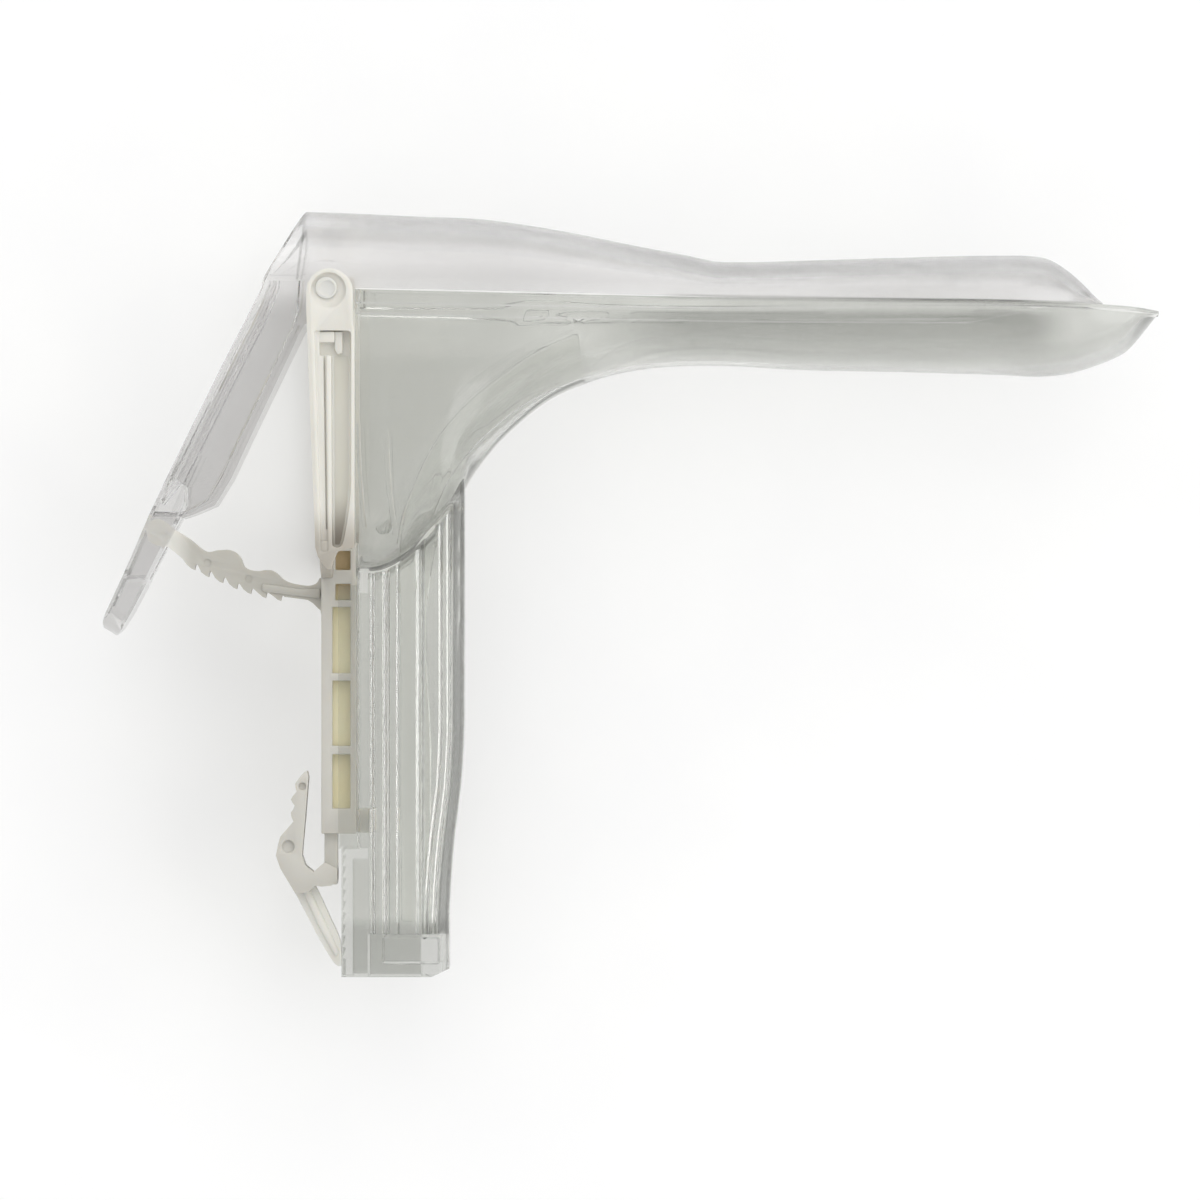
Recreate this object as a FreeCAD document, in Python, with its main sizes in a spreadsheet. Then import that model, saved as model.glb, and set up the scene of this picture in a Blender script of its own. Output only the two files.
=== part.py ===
import FreeCAD, Part
import math
import os
import re
import Sketcher

# A bivalve speculum of clear moulded plastic with a white slide yoke, lying on its side.
# All lengths are in millimetres and all angles in degrees.
# +X runs from the handle to the blade tips, +Y from the handle's foot up to the blades,
# and +Z across the width, away from the table. The origin is the middle of the foot's end face.

SIZES = {
    # Handle: a hollow grip whose lower end holds the light
    "handle_front": 11.4,
    "handle_back": 6.1,
    "handle_width": 24.0,
    "handle_wall": 1.8,
    "handle_round_radius": 2.0,
    "foot_front": 9.0,
    "foot_back": 8.75,
    "foot_height": 21.0,
    "foot_straight": 7.4,
    "taper_height": 42.0,
    "handle_rear_top": 72.0,
    "handle_front_top": 86.0,
    # Socket for the light in the foot
    "socket_depth": 8.4,
    "socket_width": 14.0,
    "collar_height": 7.0,
    "window_back": 2.1,
    "window_front": 7.4,
    "window_low": 2.1,
    "window_high": 6.6,
    "window_sink": 0.6,
    # Slot in the handle's rear wall, and the tongue that runs in it
    "tongue_neck": 4.0,
    "tongue_head": 7.0,
    "tongue_head_depth": 1.0,
    "tongue_rise": 0.2,
    "tongue_length": 4.0,
    "slot_gap": 1.0,
    # Guide rails on the grip's back, one on each side of the slide strip
    "guide_rail_reach": 3.3,
    "guide_rail_wall": 1.4,
    "guide_rail_gap": 0.6,
    # The gap between moving pieces
    "clearance": 0.3,
    # Rack on the back of the foot, that the latch's foot rests on
    "rack_depth": 1.1,
    "rack_width": 6.0,
    "rack_pitch": 1.9,
    "rack_low": 1.0,
    "rack_undercut": 0.2,
    # The line on which the two blades meet
    "split_height": 113.0,
    "split_slope": 0.0187,
    "shell_wall": 1.6,
    "edge_height": 1.1,
    # Lower blade, from the mouth to the tip: place along X, floor and half width
    "mouth_back": 6.4,
    "mouth_floor": 65.3,
    "mouth_half": 20.0,
    "heel_at": 0.5,
    "heel_floor": 66.6,
    "heel_half": 18.9,
    "instep_at": 6.0,
    "instep_floor": 71.7,
    "instep_half": 18.0,
    "bend_at": 12.0,
    "bend_floor": 81.2,
    "bend_half": 16.9,
    "throat_at": 20.5,
    "throat_floor": 91.1,
    "throat_half": 15.3,
    "neck_at": 32.0,
    "neck_floor": 97.6,
    "neck_half": 13.7,
    "waist_at": 48.0,
    "waist_floor": 100.4,
    "waist_half": 12.7,
    "belly_at": 84.0,
    "belly_floor": 99.4,
    "belly_half": 13.4,
    "sole_at": 107.0,
    "sole_floor": 98.8,
    "sole_half": 14.0,
    "toe_at": 117.5,
    "toe_floor": 102.2,
    "toe_half": 11.4,
    "nose_at": 123.2,
    "nose_floor": 106.6,
    "nose_half": 7.4,
    "tip_at": 125.7,
    "tip_floor": 108.9,
    "tip_half": 3.6,
    # Upper blade, from the eyepiece end to the tip
    "crown_at": -23.0,
    "crown_top": 126.0,
    "crown_half": 16.7,
    "brow_at": -3.0,
    "brow_top": 125.5,
    "brow_half": 16.6,
    "shoulder_at": 14.0,
    "shoulder_top": 124.7,
    "shoulder_half": 15.9,
    "ramp_at": 27.0,
    "ramp_top": 122.7,
    "ramp_half": 14.4,
    "slope_at": 40.0,
    "slope_top": 120.3,
    "slope_half": 13.2,
    "saddle_at": 53.5,
    "saddle_top": 117.7,
    "saddle_half": 12.7,
    "dip_at": 67.0,
    "dip_top": 117.8,
    "dip_half": 12.9,
    "back_at": 84.0,
    "back_top": 118.3,
    "back_half": 13.4,
    "bill_at": 105.5,
    "bill_top": 118.5,
    "bill_half": 13.6,
    "bill_end_at": 112.0,
    "bill_end_top": 114.9,
    "bill_end_half": 9.6,
    "bill_tip_at": 116.3,
    "bill_tip_top": 112.3,
    "bill_tip_half": 4.0,
    # Clear bar that carries the light from the foot to the throat
    "guide_back": 0.8,
    "guide_depth": 4.8,
    "guide_width": 8.0,
    "guide_low": 8.9,
    "guide_knee": 70.0,
    "guide_heel": 66.0,
    "guide_exit": 30.4,
    "guide_exit_low": 99.0,
    "guide_exit_high": 105.3,
    "guide_inner_radius": 42.0,
    "guide_outer_radius": 40.0,
    # Pivot of the upper blade
    "pivot_back": 11.1,
    "pivot_height": 112.9,
    "pin_radius": 1.6,
    "pin_clearance": 0.05,
    "pin_recess": 3.0,
    "pin_recess_depth": 0.7,
    # Thumb lever: two rails and a tab
    "lever_back": 21.0,
    "lever_apex": 14.7,
    "lever_apex_height": 125.9,
    "lever_back_height": 114.3,
    "ear_reach": 4.4,
    "ear_radius": 4.7,
    "rail_front": 14.2,
    "rail_front_height": 109.2,
    "rail_wall": 1.8,
    "rail_low_back": 39.3,
    "rail_low_back_rise": 15.0,
    "rail_low_front": 29.7,
    "rail_low_front_rise": 14.0,
    "rail_low_half": 11.6,
    "tab_front": 37.6,
    "tab_front_rise": 7.4,
    "tab_step": 2.6,
    "tab_step_rise": 4.6,
    "tab_back": 41.9,
    "tab_back_rise": 8.6,
    "tab_end_back": 48.3,
    "tab_end_back_drop": 5.1,
    "tab_end_round": 2.2,
    "tab_end_front": 45.5,
    "tab_end_front_drop": 6.9,
    "tab_slot_gap": 0.5,
    "tab_slot_lift": 2.0,
    "tab_slot_height": 11.3,
    # Yoke: two arms with eyes, a cross bar and the slide strip
    "arm_wall": 4.0,
    "arm_back": 14.4,
    "eye_radius": 3.8,
    "arm_foot_rise": 7.3,
    "arm_heel_reach": 0.9,
    "arm_heel_rise": 3.0,
    "arm_foot_back": 12.2,
    "arm_pocket_depth": 2.2,
    "arm_pocket_rise": 1.5,
    "arm_pocket_high": 104.0,
    "arm_lip": 1.3,
    "bar_rise": 2.1,
    "bar_height": 6.2,
    "bar_depth": 1.9,
    "bar_window_low": 1.5,
    "bar_window_high": 1.4,
    "bar_end": 3.0,
    "bar_corner": 1.4,
    "strip_back": 12.2,
    "strip_width": 11.0,
    "strip_web": 3.0,
    "strip_low": 23.4,
    "strip_end_block": 4.2,
    "window_start": 2.4,
    "window_pitch": 12.0,
    "window_height": 10.7,
    "short_window_drop": 1.4,
    "short_window_rung": 0.8,
    "strip_lip_back": 1.8,
    "strip_lip_front": 1.0,
    "tail_back": 11.9,
    "tail_front": 9.6,
    "tail_low": 15.2,
    "tail_width": 8.0,
    "tail_overlap": 0.5,
    # Ratchet arm on its living hinge
    "ratchet_back": 13.9,
    "ratchet_height": 63.2,
    "ratchet_tilt": 19.8,
    "ratchet_width": 6.0,
    "ratchet_root": 0.3,
    "ratchet_root_under": 1.5,
    "ratchet_neck": 2.0,
    "ratchet_neck_lift": 0.7,
    "ratchet_thick": 3.0,
    "ratchet_top": 0.5,
    "tooth_pitch": 2.5,
    "tooth_height": 0.75,
    "tooth_hook": 0.4,
    "tooth_heel": 0.5,
    "first_tooth": 4.3,
    "hump_start": 6.0,
    "hump_peak": 7.4,
    "hump_end": 9.4,
    "hump_rise": 0.7,
    "ridge_start": 11.4,
    "ridge_peak": 12.8,
    "ridge_back": 16.0,
    "ridge_end": 18.0,
    "ridge_rise": 1.1,
    "ridge_radius": 3.0,
    "ratchet_reach": 24.6,
    "ratchet_tip": 29.0,
    "ratchet_rise": 1.5,
    "ratchet_tip_corner": 1.2,
    "ratchet_tip_under": 1.8,
    "ratchet_tip_radius": 1.5,
    "lug_reach": 0.9,
    "lug_drop": 1.6,
    "lug_rise": 2.2,
    "lug_flare": 1.0,
    # Latch on its living hinge
    "latch_back": 12.9,
    "latch_height": 16.5,
    "latch_width": 10.0,
    "latch_tip_back": 14.7,
    "latch_tip_height": 33.6,
    "latch_knee_back": 19.6,
    "latch_knee_height": 20.2,
    "latch_neck_rise": 1.7,
    "latch_root_drop": 1.2,
    "latch_crotch": 0.8,
    "latch_crotch_rise": 3.6,
    "latch_tip_lean": 0.3,
    "latch_tip_shoulder": 1.0,
    "latch_tip_round": 0.6,
    "latch_tip_width": 0.9,
    "latch_tip_drop": 0.4,
    "latch_knee_rise": 1.6,
    "latch_knee_lean": 2.2,
    "serration_start": 2.0,
    "serration_inset": 1.7,
    "serration_spread": 0.25,
    "serration_pitch": 2.2,
    "serration_depth": 0.75,
    "serration_share": 0.6,
    "foot_tip_height": 1.5,
    "foot_tip_reach": 2.2,
    "leg_thick": 1.7,
    "leg_inset": 0.3,
    "leg_narrower": 1.0,
}

TOOTH_COUNT = 7
SERRATION_COUNT = 4

# What a count of pitches is lifted by, so that rounding never loses one
COUNT_MARGIN = 0.1

# What goes up and down with the ratchet arm, so that the arm always meets the lever and the strip
BAR_LOW = "(ratchet_height + bar_rise)"
BAR_HIGH = "(ratchet_height + bar_rise + bar_height)"
SLOT_TOP = "(ratchet_height + bar_rise - slot_gap)"
ARM_FOOT = "(ratchet_height + arm_foot_rise)"
LEVER_LOW_BACK = "(ratchet_height + rail_low_back_rise)"
LEVER_LOW_FRONT = "(ratchet_height + rail_low_front_rise)"

LOWER_STATIONS = "mouth heel instep bend throat neck waist belly sole toe nose tip".split()
UPPER_STATIONS = "crown brow shoulder ramp slope saddle dip back bill bill_end bill_tip".split()

document = FreeCAD.newDocument("bivalve_speculum")
sheet = document.addObject("Spreadsheet::Sheet", "sizes")
for row, (alias, number) in enumerate(SIZES.items(), start=1):
    sheet.set(f"A{row}", alias.replace("_", " "))
    sheet.set(f"B{row}", str(number))
    sheet.setAlias(f"B{row}", alias)
document.recompute()


def bound(text):
    """Turn each size's name in a formula into its cell in the sheet."""
    def cell(word):
        return "sizes." + word[0] if word[0] in SIZES else word[0]

    return re.sub(r"[a-z][a-z_]*", cell, str(text))


def value(text):
    """Work out a formula from the sheet's cells."""
    return float(sheet.evalExpression(bound(text)))


def new_body(label):
    body = document.addObject("PartDesign::Body", label)
    body.Label = label
    return body


def arc_between(start, end, radius):
    """A short arc from start to end; a positive radius turns left. Says whether its ends are swapped."""
    chord = end - start
    middle = (start + end) * 0.5
    side = FreeCAD.Vector(-chord.y, chord.x, 0).normalize()
    rise = math.sqrt(max(radius * radius - chord.Length ** 2 / 4, 0.0))
    centre = middle + side * math.copysign(rise, radius)
    first, last = (start, end) if radius > 0 else (end, start)
    begin = math.atan2(first.y - centre.y, first.x - centre.x)
    finish = math.atan2(last.y - centre.y, last.x - centre.x)
    if finish < begin:
        finish += 2 * math.pi
    circle = Part.Circle(centre, FreeCAD.Vector(0, 0, 1), abs(radius))
    return Part.ArcOfCircle(circle, begin, finish), radius < 0


def outline(body, name, plane, corners, away="0"):
    """A closed sketch. A corner is two formulas, and a third is the radius of an arc to the next corner."""
    sketch = body.newObject("Sketcher::SketchObject", name)
    support = [item for item in body.Origin.OriginFeatures if item.Role == plane][0]
    sketch.AttachmentSupport = [(support, "")]
    sketch.MapMode = "FlatFace"
    sketch.setExpression(".AttachmentOffset.Base.z", bound(away))
    places = [FreeCAD.Vector(value(corner[0]), value(corner[1]), 0) for corner in corners]
    ends = []
    for index, corner in enumerate(corners):
        start = places[index]
        end = places[(index + 1) % len(places)]
        if len(corner) == 3:
            arc, swapped = arc_between(start, end, value(corner[2]))
            sketch.addGeometry(arc, False)
            ends.append((2, 1) if swapped else (1, 2))
        else:
            sketch.addGeometry(Part.LineSegment(start, end), False)
            ends.append((1, 2))
    for index, corner in enumerate(corners):
        following = (index + 1) % len(corners)
        meet = (index, ends[index][1], following, ends[following][0])
        sketch.addConstraint(Sketcher.Constraint("Coincident", *meet))
    for index, corner in enumerate(corners):
        point = ends[index][0]
        across = sketch.addConstraint(Sketcher.Constraint("DistanceX", index, point, places[index].x))
        sketch.setExpression(f"Constraints[{across}]", bound(corner[0]))
        along = sketch.addConstraint(Sketcher.Constraint("DistanceY", index, point, places[index].y))
        sketch.setExpression(f"Constraints[{along}]", bound(corner[1]))
        if len(corner) == 3:
            size = sketch.addConstraint(Sketcher.Constraint("Radius", index, abs(value(corner[2]))))
            sketch.setExpression(f"Constraints[{size}]", bound(f"abs({corner[2]})"))
    return sketch


def circle_outline(body, name, centre, radius, away="0"):
    """A round sketch in the XY plane."""
    sketch = body.newObject("Sketcher::SketchObject", name)
    support = [item for item in body.Origin.OriginFeatures if item.Role == "XY_Plane"][0]
    sketch.AttachmentSupport = [(support, "")]
    sketch.MapMode = "FlatFace"
    sketch.setExpression(".AttachmentOffset.Base.z", bound(away))
    middle = FreeCAD.Vector(value(centre[0]), value(centre[1]), 0)
    sketch.addGeometry(Part.Circle(middle, FreeCAD.Vector(0, 0, 1), value(radius)), False)
    across = sketch.addConstraint(Sketcher.Constraint("DistanceX", 0, 3, middle.x))
    sketch.setExpression(f"Constraints[{across}]", bound(centre[0]))
    along = sketch.addConstraint(Sketcher.Constraint("DistanceY", 0, 3, middle.y))
    sketch.setExpression(f"Constraints[{along}]", bound(centre[1]))
    size = sketch.addConstraint(Sketcher.Constraint("Radius", 0, value(radius)))
    sketch.setExpression(f"Constraints[{size}]", bound(radius))
    return sketch


def raise_profile(body, kind, name, sketch, length, both=True, back=False):
    """A Pad or Pocket of a sketch, to both sides of its plane or to one."""
    feature = body.newObject("PartDesign::" + kind, name)
    feature.Profile = sketch
    feature.SideType = "Symmetric" if both else "One side"
    feature.Reversed = back
    feature.setExpression("Length", bound(length))
    return feature


def pad(body, name, plane, corners, length, both=True, away="0"):
    sketch = outline(body, name + "_outline", plane, corners, away)
    return raise_profile(body, "Pad", name, sketch, length, both)


def pocket(body, name, plane, corners, length, both=True, away="0", back=False):
    """A cut that has to take something away."""
    document.recompute()
    before = body.Shape.Volume
    sketch = outline(body, name + "_outline", plane, corners, away)
    feature = raise_profile(body, "Pocket", name, sketch, length, both, back)
    document.recompute()
    if body.Shape.Volume > before - 0.01:
        raise ValueError(f"{name} cuts nothing")
    return feature


def rectangle(low_x, low_y, high_x, high_y):
    return [(low_x, low_y), (high_x, low_y), (high_x, high_y), (low_x, high_y)]


def cut(label, base, tools):
    """One piece cut by others, as a chain of cuts."""
    result = base
    for number, tool in enumerate(tools, start=1):
        step = document.addObject("Part::Cut", f"{label}_cut_{number}")
        step.Base = result
        step.Tool = tool
        result = step
    result.Label = label
    return result


# Where the blades meet, at any place along X
def split(place):
    return f"(split_height - split_slope * (({place}) + mouth_back))"


def station_rows(stations, end):
    """Place, height and half width at each station, with a smooth one worked out halfway to the next."""
    places = ["-mouth_back" if station == "mouth" else f"{station}_at" for station in stations]
    columns = [places]
    for quantity in (end, "half"):
        columns.append([f"{station}_{quantity}" for station in stations])

    def slope(column, index):
        before = max(index - 1, 0)
        after = min(index + 1, len(stations) - 1)
        return f"({column[after]} - {column[before]}) / (({places[after]}) - ({places[before]}))"

    rows = []
    for index in range(len(stations)):
        rows.append([f"({column[index]})" for column in columns])
        if index + 1 < len(stations):
            gap = f"(({places[index + 1]}) - ({places[index]}))"
            row = [f"(({places[index]} + {places[index + 1]}) / 2)"]
            for column in columns[1:]:
                bend = f"({slope(column, index)} - {slope(column, index + 1)})"
                row.append(f"(({column[index]} + {column[index + 1]}) / 2 + {gap} / 8 * {bend})")
            rows.append(row)
    return rows


# One U-shaped section of a blade: straight edges and a round floor, made of two arcs
def blade_section(body, name, place, edge, depth, half, straight, lift, direction):
    round_part = f"({depth} - {straight})"
    radius = f"((({half}) * ({half}) + {round_part} * {round_part}) / (2 * {round_part}))"
    turn = "" if direction < 0 else "-"
    sign = "-" if direction < 0 else "+"
    opposite = "+" if direction < 0 else "-"
    corners = [
        (f"{edge} {opposite} {lift}", f"({half})"),
        (f"{edge} {sign} {straight}", f"({half})", f"{turn}{radius}"),
        (f"{edge} {sign} {depth}", "0", f"{turn}{radius}"),
        (f"{edge} {sign} {straight}", f"-({half})"),
        (f"{edge} {opposite} {lift}", f"-({half})"),
    ]
    return outline(body, name, "YZ_Plane", corners, away=place)


def blade_form(label, stations, end, direction, inset):
    """A blade's outer form, or the hollow that is cut from it, lofted straight from section to section."""
    body = new_body(label)
    rows = station_rows(stations, end)
    if inset != "0":
        rows = rows[:-2]
    sketches = []
    for number, (place, height_there, half_there) in enumerate(rows, start=1):
        rim = split(place) if direction > 0 else f"({split(place)} - clearance)"
        height = f"abs({rim} - {height_there})"
        straight = f"max(edge_height; {height} - {half_there})"
        depth = f"({height} - {inset})"
        half = f"{half_there} - {inset}"
        lift = "0" if inset == "0" else "shell_wall"
        name = f"{label}_{number}"
        sketches.append(blade_section(body, name, place, rim, depth, half, straight, lift, direction))
    loft = body.newObject("PartDesign::AdditiveLoft", label + "_loft")
    loft.Profile = sketches[0]
    loft.Sections = sketches[1:]
    loft.Ruled = True
    return body


# Light guide: a clear bar that rises in the handle and bends along the throat's floor
light_guide = new_body("light_guide")
pad(
    light_guide,
    "guide_bar",
    "XY_Plane",
    [
        ("guide_back", "guide_low"),
        ("guide_back + guide_depth", "guide_low"),
        ("guide_back + guide_depth", "guide_heel", "-guide_outer_radius"),
        ("guide_exit", "guide_exit_low"),
        ("guide_exit", "guide_exit_high", "guide_inner_radius"),
        ("guide_back", "guide_knee"),
    ],
    "guide_width",
)

# Lower blade: the trough and the deep funnel behind it, cut where the light guide lies in its floor
lower_outer = blade_form("lower_outer", LOWER_STATIONS, "floor", -1, "0")
lower_inner = blade_form("lower_inner", LOWER_STATIONS, "floor", -1, "shell_wall")
lower_blade = cut("lower_blade", lower_outer, [lower_inner, light_guide])

# Handle shell: a hollow grip that ends against the funnel's underside
handle_form = new_body("handle_form")
handle_block = pad(
    handle_form,
    "handle_block",
    "XY_Plane",
    [
        ("-foot_back", "0"),
        ("foot_front", "0"),
        ("foot_front", "foot_straight"),
        ("handle_front", "taper_height"),
        ("handle_front", "handle_front_top"),
        ("-handle_back", "handle_rear_top"),
        ("-handle_back", "foot_height"),
        ("-foot_back", "foot_height"),
    ],
    "handle_width",
)
document.recompute()
front_edges = []
for number, edge in enumerate(handle_form.Shape.Edges, start=1):
    run = edge.Vertexes[1].Point - edge.Vertexes[0].Point
    if abs(run.z) < 0.01 and abs(run.y) > abs(run.x) and edge.CenterOfMass.x > 0:
        front_edges.append(f"Edge{number}")
handle_round = handle_form.newObject("PartDesign::Fillet", "handle_round")
handle_round.Base = (handle_block, front_edges)
handle_round.setExpression("Radius", bound("handle_round_radius"))
guide_front = "-handle_back + handle_wall / 2"
for side, turn in (("right", 1), ("left", -1)):
    inner = "strip_width / 2 + guide_rail_gap"
    pad(
        handle_form,
        f"guide_rail_{side}",
        "XY_Plane",
        rectangle("-handle_back - guide_rail_reach", "foot_height", guide_front, SLOT_TOP),
        "guide_rail_wall",
        both=False,
        away=inner if turn > 0 else f"-({inner} + guide_rail_wall)",
    )
pocket(
    handle_form,
    "handle_hollow",
    "XY_Plane",
    [
        ("-handle_back + handle_wall", "-1"),
        ("foot_front - handle_wall", "-1"),
        ("foot_front - handle_wall", "foot_straight"),
        ("handle_front - handle_wall", "taper_height"),
        ("handle_front - handle_wall", "handle_front_top + 5"),
        ("-handle_back + handle_wall", "handle_rear_top + 5"),
    ],
    "handle_width - 2 * handle_wall",
)
pocket(
    handle_form,
    "tongue_slot",
    "XY_Plane",
    rectangle("-handle_back - 1", "foot_height", "-handle_back + handle_wall + 1", SLOT_TOP),
    "tongue_neck + 2 * clearance",
)
pocket(
    handle_form,
    "rack_recess",
    "XY_Plane",
    rectangle("-foot_back - 1", "-1", "-foot_back + rack_depth", "foot_height + 1"),
    "rack_width",
)
for side, turn in (("right", 1), ("left", -1)):
    pocket(
        handle_form,
        f"foot_window_{side}",
        "XY_Plane",
        rectangle("-window_back", "window_low", "window_front", "window_high"),
        "window_sink",
        both=False,
        away="handle_width / 2" if turn > 0 else "-handle_width / 2",
        back=turn < 0,
    )
handle_shell = cut("handle_shell", handle_form, [lower_outer])

# Socket collar inside the foot, where the light plugs in
base_collar = new_body("base_collar")
pad(
    base_collar,
    "collar_block",
    "XY_Plane",
    rectangle("-handle_back + handle_wall", "0", "foot_front - handle_wall", "collar_height"),
    "handle_width - 2 * handle_wall",
)
pocket(
    base_collar,
    "collar_socket",
    "XY_Plane",
    rectangle("-socket_depth / 2", "-1", "socket_depth / 2", "collar_height + 1"),
    "socket_width",
)

# Rack on the back of the foot: one sawtooth for each step of the slide
detent_rack = new_body("detent_rack")
rack_corners = [("-foot_back + rack_depth", "0"), ("-foot_back + rack_depth", "foot_height")]
rack_corners.append(("-foot_back + rack_depth / 2", "foot_height"))
rack_count = int(value("(foot_height - rack_low) / rack_pitch"))
for tooth in reversed(range(rack_count)):
    crest = f"rack_low + rack_pitch * {tooth + 1}"
    rack_corners.append(("-foot_back", crest))
    rack_corners.append(("-foot_back + rack_depth / 2", f"{crest} - rack_undercut"))
rack_corners.append(("-foot_back + rack_depth / 2", "0"))
pad(detent_rack, "rack_teeth", "XY_Plane", rack_corners, "rack_width")

# Upper blade: the roof over the trough, cut slantwise at the eyepiece end
upper_outer = blade_form("upper_outer", UPPER_STATIONS, "top", 1, "0")
upper_inner = blade_form("upper_inner", UPPER_STATIONS, "top", 1, "shell_wall")
eyepiece_cutter = new_body("eyepiece_cutter")
pad(
    eyepiece_cutter,
    "eyepiece_wedge",
    "XY_Plane",
    [
        ("-lever_apex", "lever_apex_height + 0.2"),
        ("-lever_back", "lever_back_height"),
        ("-lever_back - 1.0", "split_height - 2"),
        ("-lever_back - 10", "split_height - 2"),
        ("-lever_back - 10", "lever_apex_height + 5"),
        ("-lever_apex", "lever_apex_height + 5"),
    ],
    "3 * crown_half",
)
upper_blade = cut("upper_blade", upper_outer, [upper_inner, eyepiece_cutter])

# Thumb lever: two rails that lean in towards the tab
RAIL_TOP = split("-pivot_back")
RAIL_PROFILE = [
    ("-lever_back - 0.6", RAIL_TOP),
    ("-lever_back - 0.6", "split_height - 1"),
    ("-rail_low_back", LEVER_LOW_BACK),
    ("-rail_low_front", LEVER_LOW_FRONT),
    ("-rail_front", "rail_front_height", "ear_radius"),
    ("-pivot_back + ear_reach", RAIL_TOP),
]
for side, turn in (("right", 1), ("left", -1)):
    rail = new_body(f"lever_rail_{side}")
    sign = "" if turn > 0 else "-"
    pad(
        rail,
        f"rail_{side}_plan",
        "YZ_Plane",
        [
            ("split_height", f"{sign}(crown_half - rail_wall)"),
            ("split_height", f"{sign}(crown_half)"),
            ("rail_front_height", f"{sign}(crown_half)"),
            (f"{LEVER_LOW_FRONT} - 1", f"{sign}(rail_low_half)"),
            (f"{LEVER_LOW_FRONT} - 1", f"{sign}(rail_low_half - rail_wall)"),
            ("rail_front_height", f"{sign}(crown_half - rail_wall)"),
        ],
        "4 * rail_low_back",
    )
    profile = new_body(f"rail_{side}_profile")
    pad(profile, f"rail_{side}_side", "XY_Plane", RAIL_PROFILE, "3 * crown_half")
    rail.Label = f"rail_{side}_plan_form"
    piece = document.addObject("Part::Common", f"lever_rail_{side}_common")
    piece.Base = rail
    piece.Tool = profile
    piece.Label = f"lever_rail_{side}"

# Thumb tab: the plate under the thumb, with the slot that the ratchet arm runs through
thumb_tab = new_body("thumb_tab")
pad(
    thumb_tab,
    "tab_plate",
    "XY_Plane",
    [
        ("-rail_low_back", LEVER_LOW_BACK),
        ("-tab_back", "ratchet_height + tab_back_rise"),
        ("-tab_end_back", "ratchet_height - tab_end_back_drop", "tab_end_round"),
        ("-tab_end_front", "ratchet_height - tab_end_front_drop"),
        ("-tab_front", "ratchet_height + tab_front_rise"),
        ("-tab_front + tab_step", "ratchet_height + tab_front_rise + tab_step_rise"),
        ("-rail_low_front", LEVER_LOW_FRONT),
    ],
    "2 * rail_low_half",
)
pocket(
    thumb_tab,
    "tab_slot",
    "YZ_Plane",
    rectangle(
        "ratchet_height + tab_slot_lift",
        "-ratchet_width / 2 - tab_slot_gap",
        "ratchet_height + tab_slot_lift + tab_slot_height",
        "ratchet_width / 2 + tab_slot_gap",
    ),
    "4 * tab_end_back",
)

# Hinge pins: short studs on the upper blade's ears
for side, turn in (("right", 1), ("left", -1)):
    pin = document.addObject("Part::Cylinder", f"hinge_pin_{side}")
    pin.Label = f"hinge_pin_{side}"
    pin.setExpression("Radius", bound("pin_radius"))
    pin.setExpression("Height", bound("clearance + arm_wall - pin_recess_depth / 2"))
    pin.setExpression(".Placement.Base.x", bound("-pivot_back"))
    pin.setExpression(".Placement.Base.y", bound("pivot_height"))
    start = "crown_half" if turn > 0 else "-(crown_half + clearance + arm_wall - pin_recess_depth / 2)"
    pin.setExpression(".Placement.Base.z", bound(start))

# Yoke arms: channel-shaped side bars, each with an eye that holds a hinge pin
PIVOT = ("-pivot_back", "pivot_height")
for side, turn in (("right", 1), ("left", -1)):
    arm = new_body(f"yoke_arm_{side}")
    inner = "crown_half + clearance" if turn > 0 else "-(crown_half + clearance + arm_wall)"
    pad(
        arm,
        f"arm_{side}_bar",
        "XY_Plane",
        [
            ("-arm_foot_back", ARM_FOOT),
            ("-mouth_back - clearance", ARM_FOOT),
            ("-mouth_back - clearance", "pivot_height - 1"),
            ("-arm_back", "pivot_height - 1"),
            ("-arm_foot_back - arm_heel_reach", f"{ARM_FOOT} + arm_heel_rise"),
        ],
        "arm_wall",
        both=False,
        away=inner,
    )
    eye = circle_outline(arm, f"eye_{side}_outline", PIVOT, "eye_radius", inner)
    raise_profile(arm, "Pad", f"eye_{side}", eye, "arm_wall", both=False)
    bore = circle_outline(arm, f"bore_{side}_outline", PIVOT, "pin_radius + pin_clearance")
    raise_profile(arm, "Pocket", f"bore_{side}", bore, "4 * mouth_half")
    face = "crown_half + clearance + arm_wall" if turn > 0 else "-(crown_half + clearance + arm_wall)"
    recess = circle_outline(arm, f"recess_{side}_outline", PIVOT, "pin_recess", face)
    raise_profile(arm, "Pocket", f"recess_{side}", recess, "pin_recess_depth", both=False, back=turn < 0)
    pocket(
        arm,
        f"channel_{side}",
        "XY_Plane",
        [
            ("-arm_foot_back + arm_lip", f"{ARM_FOOT} + arm_pocket_rise"),
            ("-mouth_back - clearance - arm_lip", f"{ARM_FOOT} + arm_pocket_rise"),
            ("-mouth_back - clearance - arm_lip", "arm_pocket_high"),
            ("-arm_back + arm_lip + arm_heel_reach", "arm_pocket_high"),
        ],
        "arm_pocket_depth",
        both=False,
        away=face,
        back=turn < 0,
    )

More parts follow.
